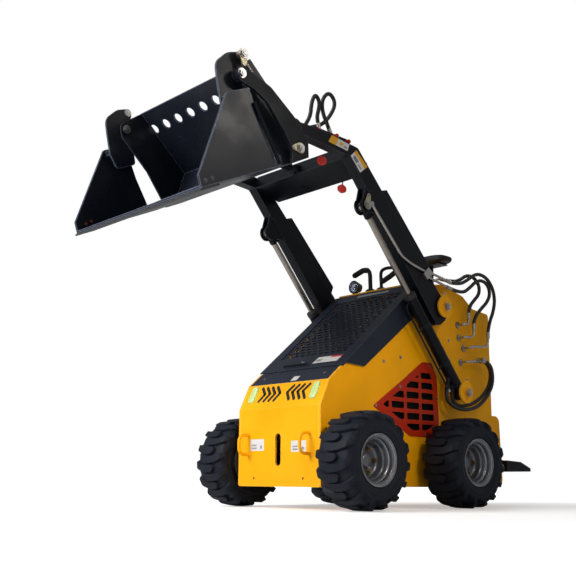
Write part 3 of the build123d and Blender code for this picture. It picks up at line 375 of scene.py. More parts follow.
HOSE_R = 0.0100
GUARD_PITCH = 0.0060
GUARD_SECTION = (1.0, 1.0, 0.90, 1.0)  # the guard's flat coil and the groove after it
hose_routes = {
    "supply_hose_inner": [
        (0.342, 0.600, 1.053), (0.346, 0.604, 1.090), (0.350, 0.645, 1.131), (0.352, 0.690, 1.170),
        (0.353, 0.694, 1.222), (0.355, 0.640, 1.262), (0.357, 0.570, 1.262), (0.359, 0.510, 1.226),
        (0.360, 0.450, 1.206), (0.3605, 0.380, 1.204),
    ],
    "supply_hose_middle": [
        (0.342, 0.644, 0.998), (0.350, 0.646, 1.035), (0.360, 0.690, 1.084), (0.366, 0.745, 1.130),
        (0.372, 0.768, 1.180), (0.376, 0.742, 1.230), (0.379, 0.680, 1.247), (0.383, 0.615, 1.226),
        (0.390, 0.550, 1.180), (0.396, 0.470, 1.138), (0.397, 0.378, 1.150),
    ],
    "supply_hose_outer": [
        (0.342, 0.776, 0.963), (0.350, 0.781, 1.019), (0.362, 0.805, 1.080), (0.372, 0.812, 1.150),
        (0.380, 0.784, 1.214), (0.386, 0.724, 1.262), (0.391, 0.645, 1.276), (0.394, 0.580, 1.256),
        (0.397, 0.520, 1.218), (0.397, 0.450, 1.186), (0.397, 0.372, 1.184),
    ],
    "lift_hose_inner": [
        (0.342, 0.706, 0.794), (0.348, 0.742, 0.790), (0.356, 0.764, 0.745), (0.362, 0.756, 0.700),
        (0.364, 0.728, 0.645), (0.364, 0.665, 0.588), (0.364, 0.588, 0.550), (0.363, 0.503, 0.530),
        (0.362, 0.440, 0.530), (0.3605, 0.404, 0.560), (0.3605, 0.402, 0.598),
    ],
    "lift_hose_outer": [
        (0.364, 0.706, 0.788), (0.370, 0.744, 0.780), (0.377, 0.757, 0.725), (0.382, 0.742, 0.655),
        (0.383, 0.680, 0.584), (0.383, 0.601, 0.531), (0.381, 0.510, 0.509), (0.376, 0.430, 0.512),
        (0.368, 0.374, 0.536), (0.3605, 0.355, 0.566), (0.3605, 0.358, 0.602),
    ],
    "coupler_hose_front": [
        (0.323, -0.667, 1.796), (0.323, -0.640, 1.830), (0.323, -0.604, 1.890), (0.323, -0.598, 1.960),
        (0.323, -0.572, 2.014), (0.323, -0.541, 1.980), (0.323, -0.550, 1.930), (0.323, -0.562, 1.892),
        (0.323, -0.549, 1.846),
    ],
    "coupler_hose_rear": [
        (0.306, -0.636, 1.810), (0.306, -0.600, 1.834), (0.306, -0.510, 1.870), (0.306, -0.444, 1.944),
        (0.308, -0.412, 2.016), (0.312, -0.462, 2.060), (0.318, -0.518, 2.006), (0.322, -0.524, 1.936),
        (0.320, -0.482, 1.872), (0.318, -0.465, 1.842),
    ],
}
COUPLER_HOSE_R = 0.0102
for name, route in hose_routes.items():
    line = evenly(smooth_line(route), GUARD_PITCH / len(GUARD_SECTION))
    hose_r = COUPLER_HOSE_R if name.startswith("coupler") else HOSE_R
    radii = [hose_r * GUARD_SECTION[step % len(GUARD_SECTION)] for step in range(len(line))]
    hose = finish(f"{name}_guard", tube(line, radii), hose_rubber, stands_for=name, angle=60)
    if name.startswith("supply"):
        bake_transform(hose)
    elif name.startswith("lift"):
        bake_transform(hose)
    else:
        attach(hose, "boom")

# ---------------------------------------------------------------- body panels
# Folded and welded sheet steel, sprayed yellow over the whole body: side plates, nose, top, rear
# panel, pivot plates and their pins, and the two round-bar tie-down loops welded to the nose.


def edge_highlight_mask_group():
    """The narrow band along a fold or an outer edge, broken into patches, where a lighter colour is laid as a
    painted highlight.
    """
    group, given, made = new_group("edge_highlight_mask", [("Width", FLOAT), ("Breakup", FLOAT)], [("Mask", FLOAT)])
    softened = node(group, "ShaderNodeBevel", {"Radius": given["Width"]}, samples=4).outputs["Normal"]
    actual = node(group, "ShaderNodeNewGeometry").outputs["Normal"]
    agree = node(group, "ShaderNodeVectorMath", {0: softened, 1: actual}, operation="DOT_PRODUCT")
    band = ranged(group, agree.outputs["Value"], 0.995, 0.90)
    highlight_patches = noise(group, node(group, "ShaderNodeTexCoord").outputs["Object"], 60.0, 3.0)
    patchy = ranged(group, highlight_patches, 0.35, 0.6, worked_out(group, "SUBTRACT", 1.0, given["Breakup"]))
    wire(group, made, {"Mask": worked_out(group, "MULTIPLY", band, patchy, clamp=True)})
    return group


edge_highlight_mask = edge_highlight_mask_group()


def with_painted_edge_highlight(material, colour, width=0.004, amount=0.6, breakup=0.4):
    """Paints a highlight: a lighter line along the edges of a coated material."""
    tree = material.node_tree
    shader = tree.nodes["Principled BSDF"]
    edges = node(tree, "ShaderNodeGroup", {"Width": width, "Breakup": breakup}, node_tree=edge_highlight_mask)
    share = worked_out(tree, "MULTIPLY", edges.outputs["Mask"], amount)
    base = shader.inputs["Base Color"].links[0].from_socket
    wire(tree, shader, {"Base Color": mixed(tree, share, base, (*colour, 1))})
    return material


def dress(material, *names):
    """Gives parts of the frame a finish in place of the plain one they came with."""
    for name in names:
        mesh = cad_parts[name].data
        mesh.materials.clear()
        mesh.materials.append(material)


# The second colour of each paint below is a painted highlight along its edges.
yellow_paint = with_painted_edge_highlight(
    coated("yellow_paint", (0.96, 0.435, 0.0020), 0.38, dust=0.05, dust_colour=(0.50, 0.30, 0.08),
           skin=260.0, depth=0.00010, specular=0.14),
    (1.0, 0.74, 0.22), width=0.004, amount=0.55, breakup=0.25)
dress(yellow_paint, "side_plate_left", "side_plate_right", "front_plate", "top_cover", "rear_panel",
      "pivot_plates", "boom_pins", "cylinder_pins", "belly_pan", "rear_housing", "tie_down_loops")
red_paint = with_painted_edge_highlight(
    coated("red_paint", (0.46, 0.022, 0.003), 0.42, dust=0.05, dust_colour=(0.40, 0.10, 0.05),
           skin=300.0, depth=0.00010, specular=0.2),
    (0.85, 0.16, 0.05), width=0.003, amount=0.5, breakup=0.3)
cast_metal = coated("cast_metal", (0.016, 0.016, 0.018), 0.62, dust=0.30, dust_colour=(0.07, 0.065, 0.06),
                    skin=160.0, depth=0.0006, patch=16.0)
dress(cast_metal, "engine_block", "wheel_motors")

# ---------------------------------------------------------------- arms, bucket and hood in dark paint
# Plate steel with a satin navy-black powder coat: arms, cross beam, barrels, hitch, bucket, hood and its
# strip. The bent and cut edges carry pale lines of painted highlight.
dark_paint = with_painted_edge_highlight(
    coated("dark_paint", (0.0045, 0.0056, 0.0098), 0.34, dust=0.035, dust_colour=(0.07, 0.07, 0.08),
           skin=340.0, depth=0.00018, patch=7.0, uneven=0.35, specular=0.15),
    (0.15, 0.18, 0.25), width=0.004, amount=0.5, breakup=0.5)
dress(dark_paint, "arm_left", "arm_right", "cross_beam", "arm_guards", "rod_ears", "lift_barrels",
      "tilt_barrel", "hitch_frame", "hitch_ears", "pivot_arms", "clam_barrels", "foot_platform",
      "coupler_block")
# The hood has the arms' coat, painted a lighter colour that stands for the light on its upward slope.
lit_hood_paint = with_painted_edge_highlight(
    coated("lit_hood_paint", (0.0190, 0.0240, 0.0400), 0.46, dust=0.05, dust_colour=(0.10, 0.10, 0.11),
           skin=340.0, depth=0.00018, patch=7.0, uneven=0.35, specular=0.12),
    (0.15, 0.18, 0.25), width=0.004, amount=0.5, breakup=0.5)
dress(lit_hood_paint, "hood", "hood_strip")
bucket_paint = with_painted_edge_highlight(
    coated("bucket_paint", (0.0115, 0.0145, 0.0235), 0.31, dust=0.14, dust_colour=(0.11, 0.10, 0.095),
           skin=300.0, depth=0.00025, patch=4.0, uneven=0.5, specular=0.28),
    (0.26, 0.31, 0.44), width=0.006, amount=0.8, breakup=0.35)
dress(bucket_paint, "blade", "clam")
edge_steel = with_painted_edge_highlight(
    coated("edge_steel", (0.030, 0.032, 0.038), 0.40, dust=0.25, dust_colour=(0.11, 0.10, 0.09), skin=180.0,
           depth=0.0004, metallic=0.6),
    (0.30, 0.30, 0.32), width=0.004, amount=0.7, breakup=0.7)
dress(edge_steel, "cutting_edge")

# ---------------------------------------------------------------- rods, pins and pipes
# Ground and chromed cylinder rods, zinc-plated pipes, ports and pins. The lift rods look a little
# warmer than the small fittings, with a thin film of oil on them.
plated_steel = coated("plated_steel", (0.46, 0.45, 0.43), 0.27, dust=0.12, dust_colour=(0.20, 0.18, 0.15),
                      skin=700.0, depth=0.00008, patch=22.0, uneven=0.4, metallic=1.0)
dress(plated_steel, "hitch_pins", "arm_pipes", "hydraulic_ports")
rod_chrome = coated("rod_chrome", (0.34, 0.31, 0.28), 0.20, dust=0.15, dust_colour=(0.10, 0.08, 0.06),
                    skin=900.0, depth=0.00004, patch=9.0, uneven=0.3, metallic=0.9)
dress(rod_chrome, "lift_rods", "tilt_rod", "tilt_piston", "clam_rods")

# ---------------------------------------------------------------- wheels
# Moulded rubber tyres on deep pressed rims. Each side of the tread has a row of curved bars that
# start square at the shoulder and end in a round nose past the middle, half a step apart.
TREAD_BARS = 15
BAR_WIDTH = 0.027
SHOULDER_RIBS = 4
RUBBER_SHADE = (0.0095, 0.0122, 0.0205)
# half of the carcass, as (radius, distance from the middle), with two raised rings on the side wall
carcass_half = [
    (0.1016, 0.0880), (0.1050, 0.0895), (0.1130, 0.0900), (0.1200, 0.0905), (0.1235, 0.0925),
    (0.1255, 0.0965), (0.1280, 0.0992), (0.1400, 0.1018), (0.1520, 0.1042), (0.1535, 0.1056),
    (0.1560, 0.1058), (0.1575, 0.1048), (0.1700, 0.1055), (0.1800, 0.1046), (0.1890, 0.1020),
    (0.1970, 0.0970), (0.2030, 0.0895), (0.2070, 0.0790), (0.2105, 0.0600), (0.2125, 0.0300),
]
CROWN_R = 0.2132
carcass = carcass_half + [(CROWN_R, 0.0)] + [(radius, -off) for radius, off in reversed(carcass_half)]
# the crest of a tread bar from the side wall over the shoulder to its nose, as (radius, distance)
bar_crest = [
    (0.1840, 0.1062), (0.1930, 0.1062), (0.2030, 0.1050), (0.2120, 0.1012), (0.2185, 0.0950),
    (0.2225, 0.0860), (0.2245, 0.0740), (0.2262, 0.0580), (0.2274, 0.0400), (0.2281, 0.0220),
    (0.2285, 0.0040), (0.2284, -0.0120),
]
bar_foot = [
    (0.1830, 0.1020), (0.1900, 0.0990), (0.1960, 0.0950), (0.2010, 0.0900), (0.2040, 0.0840),
    (0.2065, 0.0760), (0.2085, 0.0660), (0.2100, 0.0540), (0.2110, 0.0400), (0.2115, 0.0220),
    (0.2120, 0.0040), (0.2120, -0.0120),
]


def wheel_point(radius, off, along):
    """A point on the tyre: its radius, its distance from the middle, and how far round, in metres."""
    angle = along / CROWN_R
    return Vector((off, -radius * math.cos(angle), -radius * math.sin(angle)))


BAR_NOSE, BAR_FLARE, BAR_EASE, BAR_DROP = 0.030, 0.0035, 0.0012, 0.0016
BAR_SWEEP, BAR_LEAN, BAR_CURL, BAR_GAIN = 0.060, 1.45, 0.86, 0.010
NOSE_TURNS, NOSE_REACH, NOSE_LEAST = 5, 0.16, 0.12
RIB_START, RIB_STEP, RIB_WIDE, RIB_FOOT, RIB_CREST = 0.030, 0.0085, 0.0030, -0.002, 0.0022
rib_line = [(0.1790, 0.1045), (0.1890, 0.1020), (0.1970, 0.0970), (0.2030, 0.0895)]


def bar_shape(side):
    """One tread bar of the given side, at the front of a wheel whose centre is the origin."""
    bm = bmesh.new()
    crest_length = [0.0]
    for (r0, x0), (r1, x1) in zip(bar_crest, bar_crest[1:]):
        crest_length.append(crest_length[-1] + math.hypot(r1 - r0, x1 - x0))
    stations = [(crest, foot, reach / crest_length[-1], 1.0)
                for crest, foot, reach in zip(bar_crest, bar_foot, crest_length)]
    for turn in range(1, NOSE_TURNS + 1):
        angle = math.radians(90 * turn / NOSE_TURNS)
        shift = BAR_NOSE * math.sin(angle)
        (r, x), (fr, fx) = bar_crest[-1], bar_foot[-1]
        stations.append(((r, x - shift), (fr, fx - shift), 1 + NOSE_REACH * math.sin(angle), math.cos(angle)))
    rings = []
    for crest, foot, share, taper in stations:
        middle = BAR_SWEEP * (BAR_LEAN * share - BAR_CURL * share * share)
        half = (BAR_WIDTH + BAR_GAIN * min(share, 1)) / 2 * max(taper, NOSE_LEAST)
        rings.append([bm.verts.new(wheel_point(radius + drop, side * off, middle + edge * (half + grow)))
                      for edge, (radius, off), grow, drop in (
                          (-1, foot, BAR_FLARE, 0), (-1, crest, 0, -BAR_DROP), (-1, crest, -BAR_EASE, 0),
                          (1, crest, -BAR_EASE, 0), (1, crest, 0, -BAR_DROP), (1, foot, BAR_FLARE, 0))])
    for near, far in zip(rings, rings[1:]):
        bridged(bm, near, far)
    bm.faces.new(rings[0])
    bm.faces.new(list(reversed(rings[-1])))
    return faced(bm)


def rib_shape(side):
    """The thin moulded ribs on the shoulder, in the gap behind a tread bar."""
    bm = bmesh.new()
    for rib in range(SHOULDER_RIBS):
        start = RIB_START + RIB_STEP * rib
        low, high = [], []
        for radius, off in rib_line:
            for row, lift in ((low, RIB_FOOT), (high, RIB_CREST)):
                at = (radius + 0.4 * lift, side * (off + 0.8 * lift))
                row.append([bm.verts.new(wheel_point(*at, start + step)) for step in (0.0, RIB_WIDE)])
        for a in range(len(rib_line) - 1):
            bm.faces.new((high[a][0], high[a][1], high[a + 1][1], high[a + 1][0]))
            bm.faces.new((low[a][0], high[a][0], high[a + 1][0], low[a + 1][0]))
            bm.faces.new((high[a][1], low[a][1], low[a + 1][1], high[a + 1][1]))
            bm.faces.new((low[a][1], low[a][0], low[a + 1][0], low[a + 1][1]))
        for a in (0, -1):
            bm.faces.new((low[a][0], low[a][1], high[a][1], high[a][0]))
    return faced(bm)


def growth_tree(name, values):
    """An empty tree that grows one mesh from another: the tree, what it is given, its values' sockets."""
    tree = bpy.data.node_groups.new(name, "GeometryNodeTree")
    tree.interface.new_socket("Geometry", in_out="INPUT", socket_type="NodeSocketGeometry")
    sockets = {}
    for label, kind in (*values, ("Material", "Material")):
        made = tree.interface.new_socket(label, in_out="INPUT", socket_type=f"NodeSocket{kind}")
        sockets[label] = made.identifier
    tree.interface.new_socket("Geometry", in_out="OUTPUT", socket_type="NodeSocketGeometry")
    return tree, tree.nodes.new("NodeGroupInput").outputs, sockets


def end_growth(tree, given, copies):
    """Makes a tree's copies real, paints them and hands them on."""
    real = node(tree, "GeometryNodeRealizeInstances", {0: copies}).outputs[0]
    painted = node(tree, "GeometryNodeSetMaterial", {"Geometry": real, "Material": given["Material"]})
    node(tree, "NodeGroupOutput", {0: painted.outputs[0]})


def round_repeat_tree():
    """Geometry nodes that set copies of a mesh evenly round the X axis."""
    tree, given, sockets = growth_tree("round_repeat", [("Count", "Int"), ("Start", "Float")])
    single = node(tree, "GeometryNodeGeometryToInstance", {0: given["Geometry"]}).outputs[0]
    copies = node(tree, "GeometryNodeDuplicateElements", domain="INSTANCE")
    wire(tree, copies, {"Geometry": single, "Amount": given["Count"]})
    share = worked_out(tree, "DIVIDE", copies.outputs["Duplicate Index"], given["Count"])
    angle = worked_out(tree, "MULTIPLY_ADD", share, 2 * math.pi, given["Start"])
    about_x = node(tree, "ShaderNodeCombineXYZ", {"X": angle}).outputs[0]
    turned = node(tree, "GeometryNodeRotateInstances", {
        "Instances": copies.outputs["Geometry"], "Rotation": about_x, "Local Space": False})
    end_growth(tree, given, turned.outputs[0])
    return tree, sockets


def grown(name, source, growth, values):
    """The plain mesh that a node tree makes from a source mesh and its named values."""
    tree, sockets = growth
    carrier = bpy.data.objects.new(name, source)
    scene.collection.objects.link(carrier)
    nodes_modifier = carrier.modifiers.new("nodes", "NODES")
    nodes_modifier.node_group = tree
    for label, value in values.items():
        nodes_modifier[sockets[label]] = value
    evaluated = carrier.evaluated_get(bpy.context.evaluated_depsgraph_get())
    mesh = bpy.data.meshes.new_from_object(evaluated)
    mesh.name = name
    bpy.data.objects.remove(carrier)
    bpy.data.meshes.remove(source)
    return mesh


def spun(line, steps, closed=True):
    """A line of (radius, distance) points spun round the X axis."""
    bm = bmesh.new()
    turns = []
    for step in range(steps):
        angle = 2 * math.pi * step / steps
        turns.append([bm.verts.new((off, -radius * math.cos(angle), -radius * math.sin(angle)))
                      for radius, off in line])
    for step, ring in enumerate(turns):
        bridged(bm, ring, turns[(step + 1) % steps], closed)
    return bm


def moved(bm, where):
    """The same shape with every vertex put where the rule says."""
    for vertex in bm.verts:
        vertex.co = where(*vertex.co)
    return bm


def box_middle(name):
    """The middle of a part of the frame, and the side of the machine that it is on."""
    low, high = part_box(name)
    middle = (Vector(low) + Vector(high)) / 2
    return middle, 1 if middle.x > 0 else -1


round_repeat = round_repeat_tree()
tyre_rubber = coated("tyre_rubber", RUBBER_SHADE, 0.56, dust=0.04, dust_colour=(0.06, 0.057, 0.054),
                     skin=520.0, depth=0.0005, patch=9.0, uneven=0.3, specular=0.15)
tyre_parts = []
for side, start in ((1, 0.0), (-1, math.pi / TREAD_BARS)):
    for shape in (bar_shape(side), rib_shape(side)):
        values = {"Count": TREAD_BARS, "Start": start, "Material": tyre_rubber}
        tyre_parts.append(grown("tread", as_mesh(shape), round_repeat, values))

TYRE_STEPS = 120
bm = faced(spun(carcass, TYRE_STEPS))
for part in tyre_parts:
    add_mesh(bm, part)
tyre_shape = as_mesh(bm, "tyre_shape")
wheels = ("front_left", "front_right", "rear_left", "rear_right")
for wheel in wheels:
    centre, side = box_middle(f"tyre_{wheel}")
    bm = bmesh.new()
    bm.from_mesh(tyre_shape)
    moved(bm, lambda x, y, z: Vector((side * x, y, z)) + centre)
    finish(f"tyre_{wheel}_tread", faced(bm), tyre_rubber, f"wheel_{wheel}", f"tyre_{wheel}", angle=38)
bpy.data.meshes.remove(tyre_shape)

# The pale second colour is a painted highlight along the rim's edges.
rim_paint = with_painted_edge_highlight(
    coated("rim_paint", (0.140, 0.150, 0.180), 0.30, dust=0.16, dust_colour=(0.16, 0.15, 0.13), skin=300.0,
           depth=0.00012, patch=9.0, metallic=0.6),
    (0.70, 0.72, 0.78), width=0.004, amount=0.7, breakup=0.2)
# the pressed dish from the back flange round the barrel to the lip, then down its three steps to
# the disc and the hub, as (radius, distance from the middle of the tyre)
rim_line = [
    (0.0006, 0.0020), (0.0760, 0.0020), (0.0840, -0.0060), (0.0930, -0.0300), (0.0960, -0.0900),
    (0.1020, -0.0920), (0.1150, -0.0930), (0.1200, -0.0950), (0.1200, -0.0975), (0.1160, -0.0978),
    (0.1000, -0.0975), (0.1000, -0.0860), (0.1000, 0.0860), (0.1030, 0.0900), (0.1170, 0.0915),
    (0.1200, 0.0935), (0.1210, 0.0960), (0.1200, 0.0979), (0.1175, 0.0980), (0.1160, 0.0962),
    (0.1135, 0.0890), (0.1110, 0.0855), (0.1060, 0.0835), (0.1045, 0.0815), (0.1010, 0.0700),
    (0.0985, 0.0660), (0.0940, 0.0640), (0.0925, 0.0620), (0.0895, 0.0500), (0.0875, 0.0460),
    (0.0835, 0.0440), (0.0820, 0.0420), (0.0800, 0.0300), (0.0770, 0.0180), (0.0720, 0.0120),
    (0.0640, 0.0100), (0.0360, 0.0100), (0.0345, 0.0115), (0.0330, 0.0200), (0.0290, 0.0240),
    (0.0160, 0.0258), (0.0006, 0.0262),
]
RIM_STEPS = 96


def fastener_tree():
    """Geometry nodes that stand a washer, a six-sided nut and its stud on every point."""
    parts = (("Washer", 24), ("Nut", 6), ("Stud", 16))
    sizes = [(f"{part} {size}", "Float") for part, _ in parts for size in ("Radius", "Height")]
    tree, given, sockets = growth_tree("fasteners", [("Axis", "Vector"), *sizes])
    stack = node(tree, "GeometryNodeJoinGeometry")
    for part, sides in parts:
        drum = node(tree, "GeometryNodeMeshCylinder", {
            "Vertices": sides, "Radius": given[f"{part} Radius"], "Depth": given[f"{part} Height"]})
        half = worked_out(tree, "MULTIPLY", given[f"{part} Height"], 0.5)
        rise = node(tree, "ShaderNodeCombineXYZ", {"Z": half}).outputs[0]
        stood = node(tree, "GeometryNodeTransform", {"Geometry": drum.outputs["Mesh"], "Translation": rise})
        wire(tree, stack, {0: stood.outputs[0]})
    facing = node(tree, "FunctionNodeAlignRotationToVector", {"Vector": given["Axis"]}, axis="Z")
    placed = node(tree, "GeometryNodeInstanceOnPoints", {
        "Points": given["Geometry"], "Instance": stack.outputs[0], "Rotation": facing.outputs[0]})
    end_growth(tree, given, placed.outputs[0])
    return tree, sockets


fasteners = fastener_tree()


def bolted(name, places, axis, nut, material, body, slot="bright_steel", washer=None, stud=None):
    """A piece of nuts with washers and studs at the given places, each size as (radius, height)."""
    points = bpy.data.meshes.new("points")
    points.from_pydata([tuple(at) for at in places], [], [])
    values = {"Axis": tuple(axis), "Material": material}
    for part, size in (("Nut", nut), ("Washer", washer or (nut[0] * 1.35, nut[1] * 0.25)),
                       ("Stud", stud or (nut[0] * 0.52, nut[1] * 1.25))):
        values[f"{part} Radius"], values[f"{part} Height"] = size
    stand(name, grown(name, points, fasteners, values), body)


bronze_steel = coated("bronze_steel", (0.30, 0.22, 0.13), 0.34, dust=0.2, dust_colour=(0.16, 0.10, 0.05),
                      skin=600.0, depth=0.0001, patch=60.0, metallic=1.0)
WHEEL_NUTS, NUT_CIRCLE, DISC_FACE, RIM_MIDDLE = 5, 0.0545, 0.0100, 0.444
for wheel in wheels:
    centre, side = box_middle(f"rim_{wheel}")
    middle = Vector((side * RIM_MIDDLE, centre.y, centre.z))
    rim = moved(spun(rim_line, RIM_STEPS), lambda x, y, z: Vector((side * x, y, z)) + middle)
    finish(f"rim_{wheel}_dish", faced(rim), rim_paint, f"wheel_{wheel}", f"rim_{wheel}",
           angle=50)
    places = []
    for nut in range(WHEEL_NUTS):
        angle = 2 * math.pi * (nut + 0.01) / WHEEL_NUTS
        around = Vector((side * DISC_FACE, NUT_CIRCLE * math.cos(angle), NUT_CIRCLE * math.sin(angle)))
        places.append(middle + around)
    bolted(f"wheel_nuts_{wheel}", places, (side, 0, 0), (0.0105, 0.0130), bronze_steel, f"wheel_{wheel}",
           stud=(0.0058, 0.0200))

# ---------------------------------------------------------------- side grilles
# A red pressed panel bolted over the engine opening on each side, with six rows of rounded slots and thin
# bars between them. Behind it an oil cooler with upright fins fills the opening, nearly black: painted shade
# for the dark engine bay.
GRILLE_FACE = 0.302
GRILLE_BACK = 0.2985
SLOT_LENGTH, SLOT_HEIGHT, SLOT_ROWS, SLOT_COLUMNS = 0.099, 0.035, 6, 4
SLOT_STEP_Y, SLOT_STEP_Z = 0.1185, 0.0545
SLOT_LAST_Y, SLOT_FIRST_Z = 0.3215, 0.4070
SLOT_CORNER = 0.007
grille_outline = [(-0.152, 0.500), (0.075, 0.643), (0.234, 0.749), (0.311, 0.753), (0.353, 0.675),
                  (0.362, 0.457), (0.359, 0.395), (0.280, 0.358), (0.129, 0.359)]
grille_opening = [(-0.080, 0.512), (0.075, 0.605), (0.226, 0.695), (0.295, 0.695), (0.319, 0.650),
                  (0.326, 0.470), (0.324, 0.424), (0.262, 0.394), (0.145, 0.390)]


def clipped(points, window):
    """The part of a convex outline that lies inside a convex window, both as (y, z) points."""
    for (y0, z0), (y1, z1) in zip(window, window[1:] + window[:1]):
        def depth(point):
            """How far a point is outside one edge of the window."""
            return (y1 - y0) * (point[1] - z0) - (z1 - z0) * (point[0] - y0)
        kept = []
        for here, after in zip(points, points[1:] + points[:1]):
            a, b = depth(here), depth(after)
            if a <= 0:
                kept.append(here)
            if a * b < 0:
                kept.append(tuple(h + (f - h) * a / (a - b) for h, f in zip(here, after)))
        points = kept
    return points


def eased(points, radius, steps=4):
    """An outline with its corners rounded."""
    made = []
    for before, here, after in zip(points[-1:] + points[:-1], points, points[1:] + points[:1]):
        here = Vector(here)
        back, on = Vector(before) - here, Vector(after) - here
        reach = min(radius, 0.45 * back.length, 0.45 * on.length)
        start, end = here + back.normalized() * reach, here + on.normalized() * reach
        for step in range(steps + 1):
            share = step / steps
            made.append((1 - share) ** 2 * start + 2 * share * (1 - share) * here + share ** 2 * end)
    return made


def pierced_plate(outlines, half_thickness, bevel=0.0004):
    """A flat plate on X and Y with its first outline filled and the others left open."""
    curve = bpy.data.curves.new("plate", "CURVE")
    curve.dimensions = "2D"
    curve.fill_mode = "BOTH"
    curve.extrude = half_thickness - bevel
    curve.bevel_depth = bevel
    for outline in outlines:
        spline = curve.splines.new("POLY")
        spline.points.add(len(outline) - 1)
        for knot, at in zip(spline.points, outline):
            knot.co = (at[0], at[1], 0, 1)
        spline.use_cyclic_u = True
    bm = bmesh.new()
    add_mesh(bm, curve_mesh(curve))
    bmesh.ops.remove_doubles(bm, verts=bm.verts, dist=0.00002)
    return bm


SLOT_LEAST = 0.016  # a slot cut shorter than this by the opening's edge is left out
slot_outlines = [eased(grille_outline, 0.014)]
for row in range(SLOT_ROWS):
    z = SLOT_FIRST_Z + SLOT_STEP_Z * row
    for column in range(SLOT_COLUMNS):
        y = SLOT_LAST_Y - SLOT_STEP_Y * column
        slot = [(y - SLOT_LENGTH, z - SLOT_HEIGHT / 2), (y - SLOT_LENGTH, z + SLOT_HEIGHT / 2),
                (y, z + SLOT_HEIGHT / 2), (y, z - SLOT_HEIGHT / 2)]
        inside = clipped(slot, grille_opening)
        if len(inside) > 2 and max(p[0] for p in inside) - min(p[0] for p in inside) > SLOT_LEAST:
            slot_outlines.append(eased(inside, SLOT_CORNER))
bm = bmesh.new()
for side in (1, -1):
    half = moved(pierced_plate(slot_outlines, (GRILLE_FACE - GRILLE_BACK) / 2),
                 lambda y, z, off: place(side * ((GRILLE_FACE + GRILLE_BACK) / 2 + off), y, z))
    add_mesh(bm, as_mesh(faced(half)))
finish("grille_panels", bm, red_paint, "chassis", "side_grilles", angle=0)


def slab(bm, low, high):
    """Adds a closed block between two outlines of points."""
    low, high = [[bm.verts.new(at) for at in outline] for outline in (low, high)]
    bridged(bm, low, high)
    bm.faces.new(low)
    bm.faces.new(high)


FIN_START, FIN_END, FIN_PITCH, FIN_THICK = -0.100, 0.368, 0.006, 0.0016
FIN_IN, FIN_OUT, COOLER_IN, COOLER_OUT = 0.2700, 0.2840, 0.2660, 0.2705
FIN_FOOT, FIN_FRONT_FOOT, FIN_FRONT, FIN_TOP = 0.380, 0.460, 0.10, 0.705
SLOPE_START, SLOPE_HIGH, SLOPE_FALL = -0.110, 0.510, 0.62
cooler_wall = [(-0.105, 0.460), (0.100, 0.372), (0.372, 0.372), (0.372, 0.715), (0.230, 0.715),
               (-0.105, 0.512)]
bm = bmesh.new()
for side in (1, -1):
    for fin in range(round((FIN_END - FIN_START) / FIN_PITCH)):
        y = FIN_START + FIN_PITCH * fin
        low = FIN_FOOT if y > FIN_FRONT else FIN_FRONT_FOOT
        high = min(FIN_TOP, SLOPE_HIGH + SLOPE_FALL * (y - SLOPE_START))
        corners = [(FIN_IN, y), (FIN_OUT, y), (FIN_OUT, y + FIN_THICK), (FIN_IN, y + FIN_THICK)]
        slab(bm, *([place(side * x, at, z) for x, at in corners] for z in (low, high)))
    slab(bm, *([place(side * x, y, z) for y, z in cooler_wall] for x in (COOLER_IN, COOLER_OUT)))
# The near-black colour is painted shade. It darkens the cooler's fins, and also the sheet under the hood's
# pierced sheet, the nose vents and the cover's holes.
painted_shade_black = coated("painted_shade_black", (0.0045, 0.0048, 0.0055), 0.45, dust=0.25,
                      dust_colour=(0.02, 0.02, 0.022), skin=260.0, depth=0.0004, patch=30.0, specular=0.35)
finish("painted_shade_fins", faced(bm), painted_shade_black, "chassis", angle=0)

PLATE_FACE = 0.298
LEFTWARD = Vector((1, 0, 0))
bolted("grille_bolts", [place(side * GRILLE_FACE, y, z) for side in (1, -1) for y, z in (
    (0.052, 0.608), (0.299, 0.737), (0.345, 0.560), (0.250, 0.371), (-0.132, 0.503))],
       LEFTWARD, (0.0058, 0.0040), plated_steel, "chassis")
bolted("side_bolts", [place(PLATE_FACE, y, z) for y, z in (
    (-0.064, 0.728), (0.066, 0.760), (0.300, 0.905), (0.470, 0.890))],
       LEFTWARD, (0.0066, 0.0048), plated_steel, "chassis")

# ---------------------------------------------------------------- hood
# A bent sheet lid hinged at the top of the slope. Its window is filled with pierced sheet, held by
# two slanting rows of small rivets. A recessed bar with a latch knob crosses its foot, and it carries
# blank labels. A fixed dark strip with a small label and two screws lies below it.
SLOPE_FOOT = (-0.452, 0.612)
SLOPE_RISE = Vector((0, 0.7653, 0.6432))
SLOPE_OUT = Vector((0, -0.6432, 0.7653))


def on_slope(x, along, lift):
    """A point on the hood: across, up its slope from the foot, and off its face."""
    return place(x, *SLOPE_FOOT) + along * SLOPE_RISE + lift * SLOPE_OUT


CELL_X, CELL_Y = 0.0445, 0.0280
PIERCED_X, PIERCED_Y, PIERCED_CORNER = 0.0345, 0.0160, 0.0075
MESH_COLUMNS, MESH_ROWS = 10, 21
MESH_THICK = 0.0022


